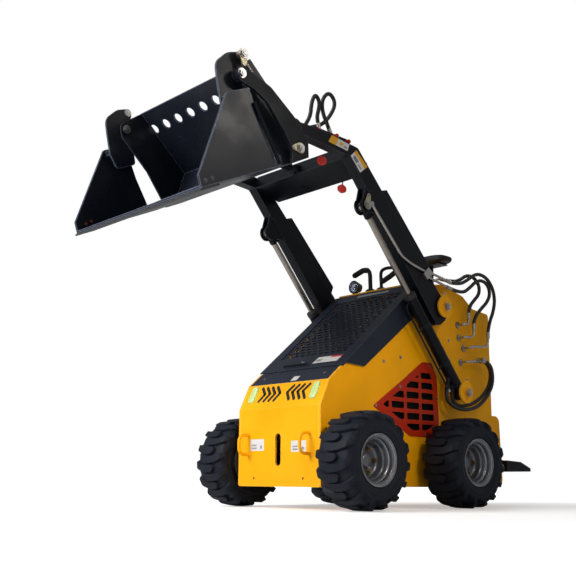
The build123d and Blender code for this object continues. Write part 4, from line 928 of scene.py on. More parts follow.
def pierced_tree():
    """Geometry nodes that lay a pierced cell in rows, each row half a cell on from the last."""
    tree, given, sockets = growth_tree("pierced_rows", [
        ("Columns", "Int"), ("Rows", "Int"), ("Step X", "Float"), ("Step Y", "Float")])
    amount = worked_out(tree, "MULTIPLY", given["Columns"], given["Rows"])
    cells = node(tree, "GeometryNodePoints", {"Count": amount}).outputs[0]
    number = node(tree, "GeometryNodeInputIndex").outputs[0]
    row = worked_out(tree, "FLOOR", worked_out(tree, "DIVIDE", number, given["Columns"]))
    column = worked_out(tree, "MODULO", number, given["Columns"])
    odd = worked_out(tree, "MODULO", row, 2.0)
    x = worked_out(tree, "MULTIPLY", worked_out(tree, "MULTIPLY_ADD", odd, 0.5, column), given["Step X"])
    y = worked_out(tree, "MULTIPLY", row, given["Step Y"])
    spot = node(tree, "ShaderNodeCombineXYZ", {"X": x, "Y": y}).outputs[0]
    spread = node(tree, "GeometryNodeSetPosition", {"Geometry": cells, "Position": spot}).outputs[0]
    laid = node(tree, "GeometryNodeInstanceOnPoints", {"Points": spread, "Instance": given["Geometry"]})
    end_growth(tree, given, laid.outputs[0])
    return tree, sockets


def rectangle(x0, y0, x1, y1):
    """The four corners of a rectangle."""
    return [(x0, y0), (x1, y0), (x1, y1), (x0, y1)]


# The second colour is a painted highlight along the edges of the pierced sheet.
mesh_paint = with_painted_edge_highlight(
    coated("mesh_paint", (0.0170, 0.0215, 0.0350), 0.48, dust=0.10, dust_colour=(0.08, 0.08, 0.085),
           skin=400.0, depth=0.00012, patch=6.0, specular=0.12),
    (0.20, 0.23, 0.30), width=0.0015, amount=0.5, breakup=0.2)
window = rectangle((CELL_X - PIERCED_X) / 2, (CELL_Y - PIERCED_Y) / 2, (CELL_X + PIERCED_X) / 2,
                   (CELL_Y + PIERCED_Y) / 2)
cell = pierced_plate([rectangle(0, 0, CELL_X, CELL_Y), eased(window, PIERCED_CORNER, steps=3)],
                     MESH_THICK / 2, bevel=0.0)
bm = bmesh.new()
add_mesh(bm, grown("hood_mesh_sheet", as_mesh(cell), pierced_tree(), {
    "Columns": MESH_COLUMNS, "Rows": MESH_ROWS, "Step X": CELL_X, "Step Y": CELL_Y, "Material": mesh_paint}))
MESH_LOW, MESH_HIGH, MESH_EDGE, MESH_SINK = 0.2140, 0.8040, 0.2435, 0.0033
mesh_width = CELL_X * (MESH_COLUMNS + 0.5)
rows_start = (MESH_LOW + MESH_HIGH - CELL_Y * MESH_ROWS) / 2
for vertex in bm.verts:
    vertex.co += Vector((-mesh_width / 2, rows_start, 0))
border = []
for row in range(MESH_ROWS):
    left = -mesh_width / 2 + (CELL_X / 2 if row % 2 else 0)
    y = rows_start + CELL_Y * row
    border.append(rectangle(-MESH_EDGE, y, left, y + CELL_Y))
    border.append(rectangle(left + CELL_X * MESH_COLUMNS, y, MESH_EDGE, y + CELL_Y))
border.append(rectangle(-MESH_EDGE, MESH_LOW, MESH_EDGE, rows_start))
border.append(rectangle(-MESH_EDGE, rows_start + CELL_Y * MESH_ROWS, MESH_EDGE, MESH_HIGH))
for outline in border:
    add_mesh(bm, as_mesh(pierced_plate([outline], MESH_THICK / 2, bevel=0.0)))
moved(bm, lambda x, y, z: on_slope(x, y, z - MESH_SINK))
finish("hood_mesh_sheet", bm, mesh_paint, "hood", "hood_mesh", angle=0)

RIVET_LIFT = -0.0022
rivets = []
for start, end, count in (((-0.165, 0.590), (0.110, 0.262), 12), ((0.200, 0.700), (0.110, 0.262), 9)):
    for step in range(count):
        share = step / (count - 1)
        rivets.append(on_slope(start[0] + share * (end[0] - start[0]),
                               start[1] + share * (end[1] - start[1]), RIVET_LIFT))
bolted("mesh_rivets", rivets, SLOPE_OUT, (0.0030, 0.0010), plated_steel, "hood",
       washer=(0.0036, 0.0006), stud=(0.0022, 0.0016))

BAR_ALONG = 0.150
bar = [tube([on_slope(x, BAR_ALONG, 0.0100) for x in (-0.150, -0.100, -0.050, 0.000, 0.035)], 0.0050)]
for x in (-0.145, 0.030):
    bar.append(tube([on_slope(x, BAR_ALONG, 0.0035), on_slope(x, BAR_ALONG, 0.0110)], 0.0048))
finish("hood_bar", joined(bar), dark_paint, "hood")
bolted("hood_latch", [on_slope(-0.020, 0.166, 0.0042)], SLOPE_OUT, (0.0085, 0.0050), plated_steel, "hood",
       washer=(0.0120, 0.0015), stud=(0.0062, 0.0085))

# A near-black sheet under the pierced sheet: painted shade seen through its holes.
bm = bmesh.new()
slab(bm, *([on_slope(x, along, lift) for x, along in rectangle(-0.240, 0.218, 0.240, 0.800)]
           for lift in (-0.040, -0.034)))
finish("hood_shade_sheet", faced(bm), painted_shade_black, "hood", angle=0)


def label(name, corners, lift_axis, fields, body, thickness=0.0006, slot="lamp_glass"):
    """A printed film with no lettering: blank fields on a surface, as (low share, high share, colour)."""
    a, b, c, d = corners
    for number, (low, high, colour) in enumerate(fields):
        base = [a.lerp(b, u).lerp(d.lerp(c, u), v) for u, v in rectangle(*low, *high)]
        film = thickness * (1 + 0.35 * number)
        bm = bmesh.new()
        slab(bm, base, [at + film * lift_axis for at in base])
        finish(f"{name}_{number + 1}", faced(bm), colour, body, angle=0)


def printed(name, colour, roughness=0.38, dust=0.10, **more):
    """A printed film's colour."""
    return coated(name, colour, roughness, dust=dust, skin=900.0, depth=0.00004, patch=40.0, specular=0.4,
                  **more)


label_white = printed("label_white", (0.72, 0.72, 0.72), dust=0.12, dust_colour=(0.40, 0.37, 0.33))
label_red = printed("label_red", (0.62, 0.030, 0.035))
label_grey = printed("label_grey", (0.30, 0.31, 0.33), 0.40)
HOOD_FACE = 0.004
whole = ((0.0, 0.0), (1.0, 1.0))
label("hood_label", [on_slope(x, along, HOOD_FACE) for x, along in (
    (0.060, 0.152), (0.232, 0.152), (0.240, 0.205), (0.068, 0.205))], SLOPE_OUT,
      [(*whole, label_white), ((0.55, 0.74), (1.0, 1.0), label_red),
       ((0.06, 0.22), (0.28, 0.60), label_grey)], "hood")
label("hood_top_strip", [on_slope(x, along, HOOD_FACE) for x, along in rectangle(
    -0.110, 0.822, 0.120, 0.842)], SLOPE_OUT, [(*whole, label_grey)], "hood")
label("strip_label", [on_slope(x, along, 0.0) for x, along in rectangle(0.010, 0.014, 0.052, 0.052)],
      SLOPE_OUT, [(*whole, label_white)], "chassis")
bolted("strip_screws", [on_slope(x, 0.056, 0.0) for x in (-0.222, 0.222)], SLOPE_OUT, (0.0045, 0.0028),
       plated_steel, "chassis", washer=(0.0075, 0.0012), stud=(0.0026, 0.0032))

# ---------------------------------------------------------------- nose
# The folded nose carries two oblong lamps with ribbed pale lenses on the sloping brow, near-black fill behind
# its chevron vents as painted shade, and two blank white labels beside the upright slot.
BROW_FOOT = (-0.513, 0.485)
BROW_RISE = Vector((0, 0.433, 0.901))
BROW_OUT = Vector((0, -0.901, 0.433))
NOSE_OUT = Vector((0, -1, 0))
LENS_X, LENS_RISE, LENS_LONG, LENS_WIDE, LENS_OUTLINE, LENS_POWER = 0.226, 0.083, 0.092, 0.048, 96, 0.45
SCALLOP_PITCH, SCALLOP_DEPTH = 0.0085, 0.13
lens_layers = [(0.0, 1.0), (0.0055, 1.0), (0.0080, 0.95), (0.0100, 0.84), (0.0113, 0.62), (0.0118, 0.30)]
lens_plastic = coated("lens_plastic", (0.50, 0.66, 0.26), 0.22, dust=0.08, dust_colour=(0.45, 0.50, 0.25),
                      skin=420.0, depth=0.0010, patch=60.0, specular=0.5)
# A faint painted glow brightens the lenses.
wire(lens_plastic.node_tree, lens_plastic.node_tree.nodes["Principled BSDF"],
     {"Emission Color": (0.62, 0.78, 0.30, 1), "Emission Strength": 0.12})


def oblong(step, steps, power):
    """One point of a rounded oblong, as shares of its half width and half length."""
    angle = 2 * math.pi * step / steps
    return [math.copysign(abs(part) ** power, part) for part in (math.cos(angle), math.sin(angle))]


bm = bmesh.new()
for side in (1, -1):
    centre = place(side * LENS_X, *BROW_FOOT) + LENS_RISE * BROW_RISE
    rings = []
    for lift, share in lens_layers:
        ring = []
        inset = (1 - share) * LENS_WIDE / 2
        for step in range(LENS_OUTLINE):
            u, v = oblong(step, LENS_OUTLINE, LENS_POWER)
            u, v = u * LENS_WIDE / 2, v * LENS_LONG / 2
            scallop = 1 - SCALLOP_DEPTH * (0.5 + 0.5 * math.cos(2 * math.pi * v / SCALLOP_PITCH))
            u = math.copysign(max(abs(u) * scallop - inset, 0), u)
            v = math.copysign(max(abs(v) - inset, 0), v)
            ring.append(bm.verts.new(centre + Vector((u, 0, 0)) + v * BROW_RISE + lift * BROW_OUT))
        rings.append(ring)
    for low, high in zip(rings, rings[1:]):
        bridged(bm, low, high)
    bm.faces.new(rings[0])
    bm.faces.new(rings[-1])
finish("front_lamp_lenses", faced(bm), lens_plastic, "chassis", "front_lamps", angle=50)

VENTS, VENT_FIRST, VENT_STEP, VENT_TIP_RISE = 4, 0.026, 0.038, 0.084
VENT_SINK, VENT_R, VENT_CORNERS, FILL_OUT, FILL_IN = 0.0040, 0.0088, 24, 0.0046, -0.003
VENT_ARMS = ((0.033, 0.120), (0.029, 0.045))  # each arm's end, as (across from the tip, up the brow)
# Near-black slabs fill the vents: painted shade in the openings.
vent_shade_fill = []
for side in (1, -1):
    for vent in range(VENTS):
        tip = VENT_FIRST + VENT_STEP * vent
        for across, rise in VENT_ARMS:
            start, end = (place(side * x, *BROW_FOOT) + up_brow * BROW_RISE - VENT_SINK * BROW_OUT
                          for x, up_brow in ((tip, VENT_TIP_RISE), (tip + across, rise)))
            way = (end - start).normalized()
            wide = way.cross(BROW_OUT).normalized()
            outline = []
            for corner in range(VENT_CORNERS):
                angle = 2 * math.pi * corner / VENT_CORNERS
                hub = end if math.cos(angle) > 0 else start
                outline.append(hub + VENT_R * (math.cos(angle) * way + math.sin(angle) * wide))
            shape = bmesh.new()
            slab(shape, *([at + sink * BROW_OUT for at in outline] for sink in (FILL_OUT, FILL_IN)))
            vent_shade_fill.append(faced(shape))
finish("vent_shade_fill", joined(vent_shade_fill), painted_shade_black, "chassis", angle=0)

NOSE_FACE = -0.513
for name, corners in (("nose_label_right", rectangle(-0.205, 0.278, -0.102, 0.335)),
                      ("nose_label_left", rectangle(0.097, 0.269, 0.201, 0.322))):
    label(name, [place(x, NOSE_FACE, z) for x, z in corners], NOSE_OUT, [
        (*whole, label_white), ((0.10, 0.15), (0.45, 0.30), label_grey),
        ((0.10, 0.42), (0.45, 0.55), label_grey), ((0.72, 0.18), (0.86, 0.44), label_grey)], "chassis")

# ---------------------------------------------------------------- work lamps
# Two round lamps on the top cover, each a black pressed bowl with a bezel, a bright dimpled reflector
# and a glass, on a folded bracket.
LAMP_FACE, LAMP_HEIGHT, LAMP_X, LAMP_GROWTH = 0.242, 1.230, 0.200, 1.22
lamp_shell = [
    (0.0270, 0.0035), (0.0285, 0.0005), (0.0300, 0.0000), (0.0310, 0.0015), (0.0310, 0.0080),
    (0.0302, 0.0100), (0.0295, 0.0240), (0.0270, 0.0310), (0.0230, 0.0345), (0.0225, 0.0480),
    (0.0200, 0.0498), (0.0006, 0.0499), (0.0006, 0.0300), (0.0180, 0.0295), (0.0265, 0.0200),
    (0.0270, 0.0120),
]
reflector_line = [(0.0268, 0.0040), (0.0262, 0.0090), (0.0235, 0.0165), (0.0180, 0.0215), (0.0090, 0.0240),
                  (0.0004, 0.0242)]
glass_line = [(0.0268, 0.0030), (0.0268, 0.0042), (0.0004, 0.0030), (0.0004, 0.0006), (0.0150, 0.0012),
              (0.0240, 0.0022)]
LAMP_STEPS = 48
gloss_black = coated("gloss_black", (0.0070, 0.0075, 0.0090), 0.33, dust=0.06,
                     dust_colour=(0.07, 0.07, 0.07), skin=700.0, depth=0.00008, patch=25.0, specular=0.4)
reflector_chrome = coated("reflector_chrome", (0.42, 0.46, 0.54), 0.16, dust=0.05, skin=330.0,
                          depth=0.0016, patch=90.0, metallic=1.0)
clear_glass, tree, shader = plain_material("clear_glass")
dimples = node(tree, "ShaderNodeTexNoise", {"Scale": 240.0}).outputs["Fac"]
ripple = node(tree, "ShaderNodeBump", {"Distance": 0.0002, "Height": dimples}).outputs["Normal"]
wire(tree, shader, {"Base Color": (0.93, 0.96, 1.0, 1), "Roughness": 0.03, "IOR": 1.45,
                    "Transmission Weight": 1.0, "Metallic": 0.0, "Normal": ripple})


def turned_forward(line, x, closed=True):
    """A spun shape with its axis along Y, its face at the lamp's face."""
    return faced(moved(spun(line, LAMP_STEPS, closed), lambda off, y, z: place(
        x + LAMP_GROWTH * y, LAMP_FACE + off, LAMP_HEIGHT + LAMP_GROWTH * z)))


def boxed(low, high, bevel):
    """A box between two corners with rounded edges."""
    shape = bmesh.new()
    bmesh.ops.create_cube(shape, size=1.0)
    for vertex in shape.verts:
        for axis in range(3):
            vertex.co[axis] = low[axis] if vertex.co[axis] < 0 else high[axis]
    bmesh.ops.bevel(shape, geom=shape.edges[:], offset=bevel, segments=3, profile=0.5, affect="EDGES")
    return shape


shells, mirrors, glasses = [], [], []
for x in (-LAMP_X, LAMP_X):
    shells.append(turned_forward(lamp_shell, x))
    shells.append(boxed(place(x - 0.018, 0.2525, 1.1720), place(x + 0.018, 0.2560, 1.2000), 0.0008))
    shells.append(boxed(place(x - 0.018, 0.2525, 1.1725), place(x + 0.018, 0.2700, 1.1755), 0.0008))
    bowl = turned_forward(reflector_line, x, closed=False)
    bmesh.ops.solidify(bowl, geom=bowl.faces[:], thickness=-0.0008)
    mirrors.append(bowl)
    glasses.append(turned_forward(glass_line, x))
finish("work_lamp_shells", joined(shells), gloss_black, "chassis", "work_lamps", angle=40)
finish("work_lamp_reflectors", joined(mirrors), reflector_chrome, "chassis", angle=40)
finish("work_lamp_glasses", joined(glasses), clear_glass, "chassis", angle=40)

# ---------------------------------------------------------------- control levers
# Steel levers in padded black grips: a bent one on the right, a looped one in the middle and an
# upright knob on the left. Each rises from a folded rubber boot on the top cover.
grip_foam = coated("grip_foam", (0.0060, 0.0062, 0.0070), 0.62, dust=0.08, dust_colour=(0.05, 0.05, 0.05),
                   skin=650.0, depth=0.0006, patch=30.0, specular=0.25)
BEND_PITCH = 0.006


def rounded_ends(line, radius):
    """Adds points to both ends of a line so that its tube closes in a half ball."""
    start_way = (line[0] - line[1]).normalized()
    end_way = (line[-1] - line[-2]).normalized()
    caps = [(math.sin(math.radians(angle)), math.cos(math.radians(angle))) for angle in (88, 66, 44, 22)]
    front = [line[0] + radius * (lift - 1) * start_way for lift, _ in caps]
    back = [line[-1] + radius * (lift - 1) * end_way for lift, _ in reversed(caps)]
    kept = [at for at in line if (at - line[0]).length > radius and (at - line[-1]).length > radius]
    opening = [radius * wide for _, wide in caps]
    return front + kept + back, opening + [radius] * len(kept) + opening[::-1]


def bent(points, radius):
    """A round bar along a smooth line through corner points, with rounded ends."""
    return tube(*rounded_ends(evenly(smooth_line(points, 12), BEND_PITCH), radius), sides=20)


# each bar's radius and the points that steer it
levers = [bent(points, radius) for radius, points in (
    (0.0120, [(-0.104, 0.285, 1.178), (-0.106, 0.285, 1.250), (-0.108, 0.285, 1.316),
              (-0.128, 0.285, 1.326)]),
    (0.0160, [(-0.112, 0.285, 1.318), (-0.150, 0.284, 1.331), (-0.190, 0.283, 1.318),
              (-0.238, 0.280, 1.302)]),
    (0.0095, [(-0.034, 0.300, 1.178), (-0.036, 0.300, 1.240), (-0.040, 0.300, 1.306), (0.000, 0.298, 1.318),
              (0.050, 0.294, 1.312), (0.098, 0.290, 1.306)]),
    (0.0150, [(-0.036, 0.300, 1.240), (-0.010, 0.299, 1.250), (0.050, 0.294, 1.268), (0.096, 0.290, 1.290)]),
    (0.0150, [(0.120, 0.330, 1.182), (0.121, 0.330, 1.250), (0.122, 0.331, 1.334)]),
    (0.0240, [(0.122, 0.330, 1.270), (0.122, 0.3305, 1.300), (0.122, 0.331, 1.340)]),
)]
boot_line = [(0.0340, -0.006), (0.0345, 0.002), (0.0320, 0.007), (0.0335, 0.012), (0.0305, 0.018),
             (0.0310, 0.023), (0.0265, 0.029), (0.0190, 0.034), (0.0004, 0.036), (0.0004, -0.006)]
for x, y, z in ((-0.104, 0.285, 1.1745), (-0.034, 0.300, 1.1755), (0.120, 0.330, 1.1790)):
    levers.append(faced(moved(spun(boot_line, 32), lambda off, across, along: place(
        x + across, y + along, z + off))))
finish("control_lever_grips", joined(levers), grip_foam, "chassis", "control_levers", angle=55)

# ---------------------------------------------------------------- hip pad
# A padded rest behind the levers: foam in black vinyl with a crowned face and a welded seam round its
# middle, on a steel plate and post that rise from the top cover.
PAD_CENTRE = (0.0, 0.700, 1.420)
PAD_HALF = (0.1385, 0.0640, 0.0315)
PAD_RINGS, PAD_SIDES, PAD_CORNER, PAD_SHOULDER = 22, 96, 0.55, 2.6
SEAM_DEPTH, SEAM_REACH, PAD_CROWN, WELT_INSET = 0.025, 0.06, 0.16, 0.985
pad_vinyl = coated("pad_vinyl", (0.0075, 0.0076, 0.0082), 0.46, dust=0.08, dust_colour=(0.05, 0.05, 0.05),
                   skin=480.0, depth=0.0007, patch=18.0, specular=0.35)
bm = bmesh.new()
rings = []
for level in range(1, PAD_RINGS):
    lift = math.cos(math.pi * level / PAD_RINGS)
    wide = (1 - abs(lift) ** PAD_SHOULDER) ** (1 / PAD_SHOULDER)
    drawn_in = 1 - SEAM_DEPTH * math.exp(-(lift / SEAM_REACH) ** 2)
    ring = []
    for step in range(PAD_SIDES):
        u, v = oblong(step, PAD_SIDES, PAD_CORNER)
        crown = 1 - PAD_CROWN * (wide * u) ** 2 * max(lift, 0)
        ring.append(bm.verts.new(place(PAD_CENTRE[0] + PAD_HALF[0] * wide * drawn_in * u,
                                       PAD_CENTRE[1] + PAD_HALF[1] * wide * drawn_in * v,
                                       PAD_CENTRE[2] + PAD_HALF[2] * lift * crown)))
    rings.append(ring)
for high, low in zip(rings, rings[1:]):
    bridged(bm, low, high)
for ring in (rings[0], rings[-1]):
    middle = bm.verts.new(sum((vertex.co for vertex in ring), Vector()) / len(ring))
    for step in range(PAD_SIDES):
        bm.faces.new((ring[step], ring[(step + 1) % PAD_SIDES], middle))
pad = finish("hip_pad_cushion", faced(bm), pad_vinyl, "chassis", "hip_pad", angle=80)

welt = []
for step in range(PAD_SIDES + 1):
    u, v = oblong(step, PAD_SIDES, PAD_CORNER)
    welt.append(place(PAD_CENTRE[0] + WELT_INSET * PAD_HALF[0] * u,
                      PAD_CENTRE[1] + WELT_INSET * PAD_HALF[1] * v, PAD_CENTRE[2]))
finish("hip_pad_piping", tube(evenly(welt, 0.004), 0.0022, 8), pad_vinyl, "chassis")

post = stepped([(place(0, PAD_CENTRE[1], z), radius) for z, radius in (
    (1.070, 0.0340), (1.0745, 0.0340), (1.0755, 0.0330), (1.080, 0.0205), (1.084, 0.0190), (1.384, 0.0190),
    (1.396, 0.0190))], 32)
pan = boxed(place(-0.100, 0.660, 1.3860), place(0.100, 0.740, 1.3915), 0.0015)
finish("hip_pad_post", joined([post, pan]), dark_paint, "chassis")

# ---------------------------------------------------------------- pins, nuts and keepers
# Zinc-plated nuts and washers close the boom, lift, rod and clam pins. Drop-shaped keeper plates of yellow
# zinc keep the rod pins and two of the clam's pins; all but the upper clam keeper have a small screw at their
# point.
PIVOT, LIFT_PIN, ROD_PIN = (0.311, 1.042), (0.474, 0.597), (-0.273, 1.487)
CLAM_HINGE, CLAM_TOP, CLAM_LOW = (0.238, 0.430), (0.180, 0.515), (0.028, 0.052)
PIN_NUT, PIN_WASHER, PIN_STUD = (0.0172, 0.0105), (0.0225, 0.0028), (0.0095, 0.0135)
KEEPER_SCREW = (0.0056, 0.0042)
PIN_END, ROD_PIN_END, KEEPER_HEAD = 0.420, 0.3932, 0.407
KEEPER_THICK, KEEPER_CORNERS = 0.0035, 24
BUCKET_Y, BUCKET_Z, BUCKET_TIP = -0.790, 1.580, math.radians(24.6)
zinc = coated("zinc", (0.52, 0.45, 0.30), 0.36, dust=0.25, dust_colour=(0.30, 0.22, 0.10), skin=500.0,
              depth=0.0001, patch=70.0, uneven=0.5, metallic=1.0)


def keeper_plate(x, centre, tip, wide, narrow):
    """A drop-shaped plate that lies on a pin's end at x, pointing at its tip."""
    centre, tip = Vector(centre), Vector(tip)
    way = (tip - centre).normalized()
    across = Vector((-way.y, way.x))
    outline = []
    for hub, radius, first, turn in ((centre, wide, 75, 210), (tip, narrow, -75, 150)):
        for corner in range(KEEPER_CORNERS + 1):
            angle = math.radians(first + turn * corner / KEEPER_CORNERS)
            outline.append(hub + radius * (math.cos(angle) * way + math.sin(angle) * across))
    shape = pierced_plate([outline], KEEPER_THICK / 2, bevel=0.0005)
    return faced(moved(shape, lambda y, z, off: place(x + math.copysign(KEEPER_THICK / 2, x) + off, y, z)))


def bucket_place(x, forward, rise):
    """A point from the bucket's lower rear corner: forward along its floor and up from it."""
    return place(x, BUCKET_Y - forward * math.cos(BUCKET_TIP) - rise * math.sin(BUCKET_TIP),
                 BUCKET_Z - forward * math.sin(BUCKET_TIP) + rise * math.cos(BUCKET_TIP))


# the turned collar on the clam's hinge, as (x, radius)
collar_line = [(0.4515, 0.0250), (0.4530, 0.0275), (0.4600, 0.0275), (0.4615, 0.0255), (0.4700, 0.0255),
               (0.4715, 0.0280), (0.4830, 0.0280), (0.4850, 0.0255)]
top, low = ((at.y - middle_y, at.z) for at in (bucket_place(0, *CLAM_TOP), bucket_place(0, *CLAM_LOW)))
for side, word in ((1, "left"), (-1, "right")):
    def nut(name, at, body, facing=side, **sizes):
        """One zinc nut on the end of a pin."""
        sizes = {"nut": PIN_NUT, "washer": PIN_WASHER, "stud": PIN_STUD, **sizes}
        bolted(f"{name}_{word}", [at], (facing, 0, 0), material=plated_steel, body=body, **sizes)

    nut("boom_pin_nut", place(side * PIN_END, *PIVOT), "boom")
    nut("lift_pin_nut", place(side * PIN_END, *LIFT_PIN), "chassis")
    nut("rod_pin_nut", place(side * ROD_PIN_END, *ROD_PIN), "boom")
    bolted(f"keeper_screws_{word}", [place(side * KEEPER_HEAD, y, z) for y, z in (
        (0.3115, 1.114), (0.4778, 0.666))], (side, 0, 0), KEEPER_SCREW, plated_steel, "chassis")
    for name, face, pin, tip, size, body in (
            ("rod_pin_keeper", 0.3892, ROD_PIN, (ROD_PIN[0] + 0.010, ROD_PIN[1] + 0.050), (0.023, 0.012),
             "boom"),
            ("clam_top_keeper", 0.4820, top, (top[0] + 0.006, top[1] - 0.044), (0.024, 0.012), "clam"),
            ("clam_low_keeper", 0.4982, low, (low[0] - 0.038, low[1] - 0.006), (0.025, 0.011), "bucket")):
        keeper = keeper_plate(side * face, pin, tip, *size)
        finish(f"{name}_{word}", keeper, zinc, body, angle=0)
        if name != "clam_top_keeper":
            nut(f"{name}_screw", place(side * (face + KEEPER_THICK), *tip), body, nut=KEEPER_SCREW,
                washer=None, stud=None)
    nut("clam_top_nut", bucket_place(side * 0.4862, *CLAM_TOP), "clam")
    nut("clam_low_nut", bucket_place(side * 0.5022, *CLAM_LOW), "bucket")
    nut("clam_hinge_nut", bucket_place(side * 0.4985, *CLAM_HINGE), "bucket")
    nut("clam_top_head", bucket_place(side * 0.4400, *CLAM_TOP), "clam", -side, nut=(0.0172, 0.0026),
        washer=(0.0200, 0.0010), stud=(0.0095, 0.0032))
    nut("clam_hinge_inner_nut", bucket_place(side * 0.4160, *CLAM_HINGE), "bucket", -side)
    collar = stepped([(bucket_place(side * x, *CLAM_HINGE), radius) for x, radius in collar_line], 40)
    finish(f"clam_hinge_collar_{word}", collar, dark_paint, "bucket")

# ---------------------------------------------------------------- bucket fittings
# A thin steel pipe with a hose fitting runs down the rear edge of the clam's left cheek. Four flush
# bolts hold the cutting edge's ends, the right pair showing bare rusted heads.
bucket_pipe = [(0.5080, -1.122, 1.752), (0.5080, -1.100, 1.712), (0.5080, -1.040, 1.618),
               (0.5080, -0.990, 1.541)]
# the hose fitting at the pipe's foot, as (share of its length, radius)
fitting_line = [(0.00, 0.0088), (0.06, 0.0108), (0.42, 0.0108), (0.48, 0.0085), (0.60, 0.0085),
                (0.66, 0.0100), (1.00, 0.0100)]
fitting_low, fitting_high = place(0.5095, -0.993, 1.546), place(0.5095, -0.968, 1.503)
rust = coated("rust", (0.20, 0.045, 0.018), 0.75, dust=0.35, dust_colour=(0.30, 0.12, 0.05), skin=600.0,
              depth=0.0003, patch=90.0)
pipe = faced(tube([place(*at) for at in bucket_pipe], 0.0075, 20))
fitting = stepped([(fitting_low.lerp(fitting_high, share), radius) for share, radius in fitting_line], 6)
finish("cheek_pipe", joined([pipe, fitting]), dark_paint, "clam")
bolted("cheek_bolts", [place(0.500, -1.370, 1.341), place(0.500, -1.335, 1.358)], LEFTWARD, (0.0075, 0.0016),
       edge_steel, "clam", slot="edge_steel", washer=(0.0092, 0.0008), stud=(0.0040, 0.0022))
bolted("far_cheek_bolts", [bucket_place(-0.488, 0.598, 0.032), bucket_place(-0.488, 0.566, 0.036)], LEFTWARD,
       (0.0062, 0.0030), rust, "clam", slot="edge_steel")

# ---------------------------------------------------------------- arm labels
# Two blank printed films on the left arm's outer face, in fields of white, yellow and blue-grey.
ARM_FACE = 0.3892
label_yellow = printed("label_yellow", (0.85, 0.42, 0.010), dust=0.08)
label_blue = printed("label_blue", (0.16, 0.21, 0.32), 0.40, 0.08)
label("arm_label_front", [place(ARM_FACE, y, z) for y, z in (
    (-0.547, 1.752), (-0.414, 1.737), (-0.399, 1.774), (-0.523, 1.792))], LEFTWARD,
      [(*whole, label_white), ((0.0, 0.0), (0.38, 1.0), label_yellow),
       ((0.52, 0.30), (0.68, 0.72), label_yellow), ((0.76, 0.24), (0.94, 0.44), label_grey)], "boom")
label("arm_label_rear", [place(ARM_FACE, y, z) for y, z in (
    (-0.391, 1.718), (-0.323, 1.646), (-0.269, 1.688), (-0.350, 1.757))], LEFTWARD,
      [(*whole, label_white), ((0.0, 0.62), (1.0, 1.0), label_yellow),
       ((0.14, 0.14), (0.50, 0.48), label_blue), ((0.60, 0.18), (0.88, 0.32), label_grey)], "boom")

# ---------------------------------------------------------------- coupler fittings
# Moulded red dust caps on the three coupler ports, a red cap hanging from its strap below them, and a drilled
# red cover on a short black tube at the cross beam, its holes painted as black dots of shade.
red_plastic = coated("red_plastic", (0.66, 0.022, 0.012), 0.34, dust=0.06, skin=500.0, depth=0.0002,
                     patch=30.0, specular=0.45)
cap_line = [(0.0125, 0.000), (0.0125, 0.004), (0.0112, 0.005), (0.0112, 0.018), (0.0104, 0.022),
            (0.0075, 0.0248), (0.0004, 0.0256), (0.0004, 0.000)]


def turned_outward(line, x, y, z):
    """A spun shape with its axis along X, standing on the point given."""
    return faced(moved(spun(line, 40), lambda off, across, up: place(x + off, y + across, z + up)))


caps = [turned_outward(cap_line, 0.332, y, z) for y, z in ((-0.573, 1.816), (-0.447, 1.819), (-0.362, 1.811))]
finish("coupler_dust_caps", joined(caps), red_plastic, "boom", "coupler_caps", angle=40)

hanging_line = [(0.0165, 0.000), (0.0180, 0.003), (0.0180, 0.016), (0.0150, 0.020), (0.0090, 0.0225),
                (0.0004, 0.0230), (0.0004, 0.000)]
CAP_X, CAP_Y, CAP_Z, CAP_LONG, CAP_TALL = 0.318, -0.391, 1.560, 1.45, 1.15
hanging = moved(faced(spun(hanging_line, 40)), lambda off, across, up: place(
    CAP_X + off, CAP_Y + CAP_LONG * across, CAP_Z + CAP_TALL * up))
finish("hanging_dust_cap", hanging, red_plastic, "boom", angle=40)
strap = bent([(0.330, -0.390, 1.614), (0.331, -0.3895, 1.602), (0.331, -0.3890, 1.588),
              (0.330, -0.3905, 1.574)], 0.0030)
finish("dust_cap_strap", strap, grip_foam, "boom")

COVER_AT, COVER_TURN = place(0.3145, -0.518, 1.679), Matrix.Rotation(math.radians(-38), 4, "Z")
COVER_HOLES, HOLE_CIRCLE, HOLE_R = 7, 0.0125, 0.0021
cover_line = [(0.0225, 0.000), (0.0235, 0.0010), (0.0235, 0.0048), (0.0222, 0.0062), (0.0004, 0.0072),
              (0.0004, 0.000)]
neck_line = [(0.0130, -0.009), (0.0150, -0.004), (0.0165, -0.0035), (0.0165, 0.0005), (0.0004, 0.0005),
             (0.0004, -0.009)]
dot_line = [(HOLE_R, 0.0062), (HOLE_R, 0.0074), (0.0002, 0.0074), (0.0002, 0.0062)]


def on_cover(line, y=0.0, z=0.0):
    """A spun shape on the cover, off its axis by y and z."""
    return moved(faced(spun(line, 40)), lambda off, across, up: COVER_TURN @ Vector(
        (off, y + across, z + up)) + COVER_AT)


finish("beam_cover", on_cover(cover_line), red_plastic, "boom", angle=40)
finish("beam_cover_neck", on_cover(neck_line), cast_metal, "boom", angle=40)
# The holes are not cut: black dots on the cover paint the shade inside them.
dots = [on_cover(dot_line, HOLE_CIRCLE * math.cos(angle), HOLE_CIRCLE * math.sin(angle))
        for angle in (2 * math.pi * hole / (COVER_HOLES - 1) for hole in range(COVER_HOLES - 1))]
finish("beam_cover_hole_shade", joined([*dots, on_cover(dot_line)]), painted_shade_black, "boom")

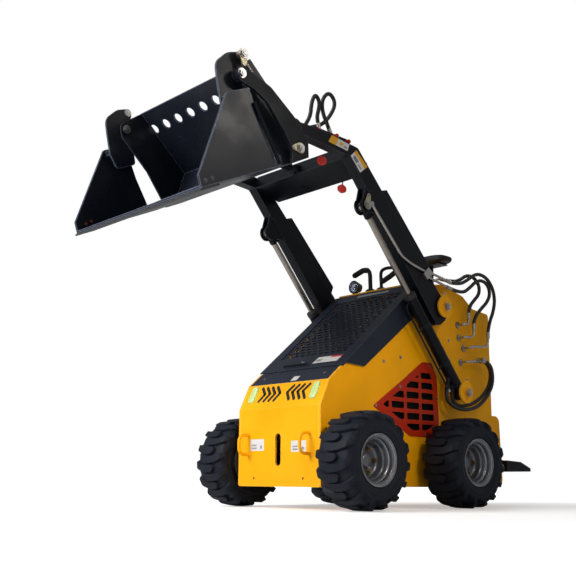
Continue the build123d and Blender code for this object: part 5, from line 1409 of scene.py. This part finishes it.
# a hose's crimped end, as (distance along the hose from its end, radius)
crimp_line = [(-0.034, 0.0098), (-0.033, 0.0116), (-0.022, 0.0116), (-0.021, 0.0104), (-0.016, 0.0104),
              (-0.015, 0.0122), (0.000, 0.0122), (0.004, 0.0112), (0.016, 0.0112), (0.018, 0.0105)]
crimps = []
for name in ("coupler_hose_front", "coupler_hose_rear"):
    first, second, *_, last_but_one, last = [place(*at) for at in hose_routes[name]]
    for at, near in ((first, second), (last, last_but_one)):
        way = (near - at).normalized()
        crimps.append(stepped([(at + along * way, radius) for along, radius in crimp_line], 24))
finish("coupler_crimps", joined(crimps), plated_steel, "boom")

# ---------------------------------------------------------------- lift cylinder fittings
# Threaded gland rings close the lift barrels, and turned sleeves end the rods. A thin black return pipe
# runs up the left barrel from a silver elbow, held by two bands and three stays, and rubber grommets
# line the hose holes in the side plate.
BARREL_WAY = Vector((0, -0.6429, 0.7660))
BARREL_SIDE = Vector((0, -0.7660, -0.6429))
BARREL_X, PIPE_OUT = 0.3605, 0.0660
gland_line = [(0.0328, 0.612), (0.0345, 0.613), (0.0345, 0.622), (0.0336, 0.623), (0.0336, 0.625),
              (0.0345, 0.626), (0.0345, 0.634), (0.0310, 0.6375), (0.0240, 0.6385), (0.0164, 0.6390),
              (0.0164, 0.636), (0.0290, 0.634), (0.0290, 0.612)]
band_line = [(0.0325, -0.0070), (0.0338, -0.0065), (0.0338, 0.0065), (0.0325, 0.0070), (0.0300, 0.0070),
             (0.0300, -0.0070)]
sleeve_line = [(0.020, 0.0190), (0.024, 0.0215), (0.062, 0.0215), (0.066, 0.0205), (0.070, 0.0165)]


def barrel_ring(line, foot, along):
    """A ring spun round a lift barrel, so far up it from its pin."""
    return faced(moved(spun(line, 48), lambda off, across, out: foot + (along + off) * BARREL_WAY + Vector(
        (across, 0, 0)) + out * BARREL_SIDE))


for side, word in ((1, "left"), (-1, "right")):
    foot, eye = place(side * BARREL_X, *LIFT_PIN), place(side * BARREL_X, *ROD_PIN)
    finish(f"lift_gland_{word}", barrel_ring(gland_line, foot, 0), cast_metal, "lift_barrels")
    sleeve = stepped([(eye - along * BARREL_WAY, radius) for along, radius in sleeve_line], 40)
    finish(f"lift_rod_end_{word}", sleeve, dark_paint, "lift_rods")
foot = place(BARREL_X, *LIFT_PIN)
BAND_PLACES, STAY_R = (0.200, 0.440), 0.0040
return_line = evenly([foot + along * BARREL_WAY + out * BARREL_SIDE for along, out in (
    (0.098, PIPE_OUT), (0.340, PIPE_OUT), (0.572, PIPE_OUT), (0.586, PIPE_OUT - 0.004),
    (0.596, PIPE_OUT - 0.014), (0.599, PIPE_OUT - 0.024), (0.600, 0.0320))], 0.008)
pipe_parts = [faced(tube(return_line, 0.0045, 14))]
pipe_parts += [barrel_ring(band_line, foot, along) for along in BAND_PLACES]
for along in (0.078, *BAND_PLACES):
    pipe_parts.append(stepped([(foot + along * BARREL_WAY + out * BARREL_SIDE, radius) for out, radius in (
        (0.0315, 0.0052), (0.0330, STAY_R), (PIPE_OUT, STAY_R))], 12))
finish("lift_return_pipe", joined(pipe_parts), dark_paint, "lift_barrels")
elbow_line = [(0.060, 0.0075), (0.061, 0.0100), (0.078, 0.0100), (0.079, 0.0070), (0.086, 0.0070),
              (0.087, 0.0088), (0.100, 0.0088), (0.101, 0.0060)]
elbow = stepped([(foot + along * BARREL_WAY + PIPE_OUT * BARREL_SIDE, radius)
                 for along, radius in elbow_line], 6)
finish("lift_pipe_elbow", elbow, plated_steel, "lift_barrels")

grommet_line = [(0.0150, 0.0000), (0.0150, 0.0040), (0.0162, 0.0052), (0.0180, 0.0050), (0.0190, 0.0030),
                (0.0190, 0.0000)]
grommets = [turned_outward(grommet_line, PLATE_FACE, y, z) for y, z in (
    (0.551, 0.984), (0.560, 0.914), (0.599, 0.858), (0.571, 0.777))]
finish("hose_grommets", joined(grommets), grip_foam, "chassis", angle=40)

# ---------------------------------------------------------------- foot platform
# The step behind has rows of pressed anti-slip studs, every second row half a step on, with a painted
# highlight along their edges.
STUD_ROWS, STUD_COLUMNS, STUD_STEP_X, STUD_STEP_Y, STUD_FALL = 6, 19, 0.0245, 0.0225, 0.0012
STUD_Y, STUD_Z, PLATFORM_OUT = 1.043, 0.2535, (0, 0.052, 0.999)
stud_places = []
for row in range(STUD_ROWS):
    columns = STUD_COLUMNS + row % 2
    for column in range(columns):
        stud_places.append(place((column - (columns - 1) / 2) * STUD_STEP_X, STUD_Y + STUD_STEP_Y * row,
                                 STUD_Z - STUD_FALL * row))
bolted("platform_studs", stud_places, PLATFORM_OUT, (0.0042, 0.0022), edge_steel, "chassis",
       slot="edge_steel", washer=(0.0068, 0.0010), stud=(0.0026, 0.0028))

# ---------------------------------------------------------------- rear door and housing
# A folded yellow service door with a rolled edge hangs on two hinges on the rear panel, with a black
# paddle latch, a louvred vent, screws and a blank label. The housing below has a bolted back plate.
TAIL, HOUSING_BACK, DOOR_FACE = 0.844, 0.978, 0.0075
SLATS, SLAT_LOW, SLAT_PITCH, SLAT_TALL, SLAT_LEAN = 7, 0.655, 0.026, 0.013, 0.0070


def sheet(half_width, back, front, low, high, bevel):
    """A plate across the machine's back, from its back face to its front."""
    return boxed(place(-half_width, back, low), place(half_width, front, high), bevel)


door = [sheet(0.215, TAIL - 0.002, TAIL + 0.0045, 0.560, 0.985, 0.0035),
        sheet(0.200, TAIL + 0.003, TAIL + DOOR_FACE, 0.575, 0.970, 0.0030),
        sheet(0.212, HOUSING_BACK - 0.002, HOUSING_BACK + 0.0035, 0.300, 0.470, 0.0030)]
for slat in range(SLATS):
    z = SLAT_LOW + SLAT_PITCH * slat
    leaning = sheet(0.120, TAIL + 0.004, TAIL + 0.0145, z, z + SLAT_TALL, 0.0020)
    for vertex in leaning.verts:
        if vertex.co.z > z + SLAT_TALL / 2:
            vertex.co.y -= SLAT_LEAN
    door.append(leaning)
finish("rear_door", joined(door), yellow_paint, "chassis", angle=40)
latch = [boxed(place(0.128, TAIL + 0.006, 0.880), place(0.182, TAIL + 0.0120, 0.938), 0.0025),
         boxed(place(0.136, TAIL + 0.010, 0.888), place(0.174, TAIL + 0.0185, 0.918), 0.0035)]
for z in (0.640, 0.900):
    latch.append(stepped([(place(-0.2195, TAIL + 0.0085, z + step), radius) for step, radius in (
        (-0.036, 0.0050), (-0.035, 0.0060), (0.035, 0.0060), (0.036, 0.0050))], 20))
finish("rear_latch_hinges", joined(latch), gloss_black, "chassis", angle=40)
rear_bolts = [place(x, TAIL, z) for x in (-0.262, 0.262) for z in (0.150, 0.420, 0.700, 1.000)]
rear_bolts += [place(x, HOUSING_BACK + 0.0035, z)
               for x in (-0.196, -0.066, 0.066, 0.196) for z in (0.315, 0.455)]
bolted("rear_bolts", rear_bolts, (0, 1, 0), (0.0068, 0.0048), plated_steel, "chassis")
label("rear_label", [place(x, TAIL + 0.0076, z) for x, z in rectangle(0.095, 0.600, -0.095, 0.640)],
      Vector((0, 1, 0)), [(*whole, label_white), ((0.0, 0.0), (0.22, 1.0), label_yellow),
                          ((0.30, 0.25), (0.90, 0.45), label_grey)], "chassis")

# ---------------------------------------------------------------- top edge of the nose cover
# The yellow lip of the top cover shows as a thin line above the hood.
label("cover_lip", [on_slope(x, along, -0.002) for x, along in rectangle(-0.285, 0.8715, 0.285, 0.8765)],
      SLOPE_OUT, [(*whole, yellow_paint)], "chassis", thickness=0.009, slot="yellow_paint")
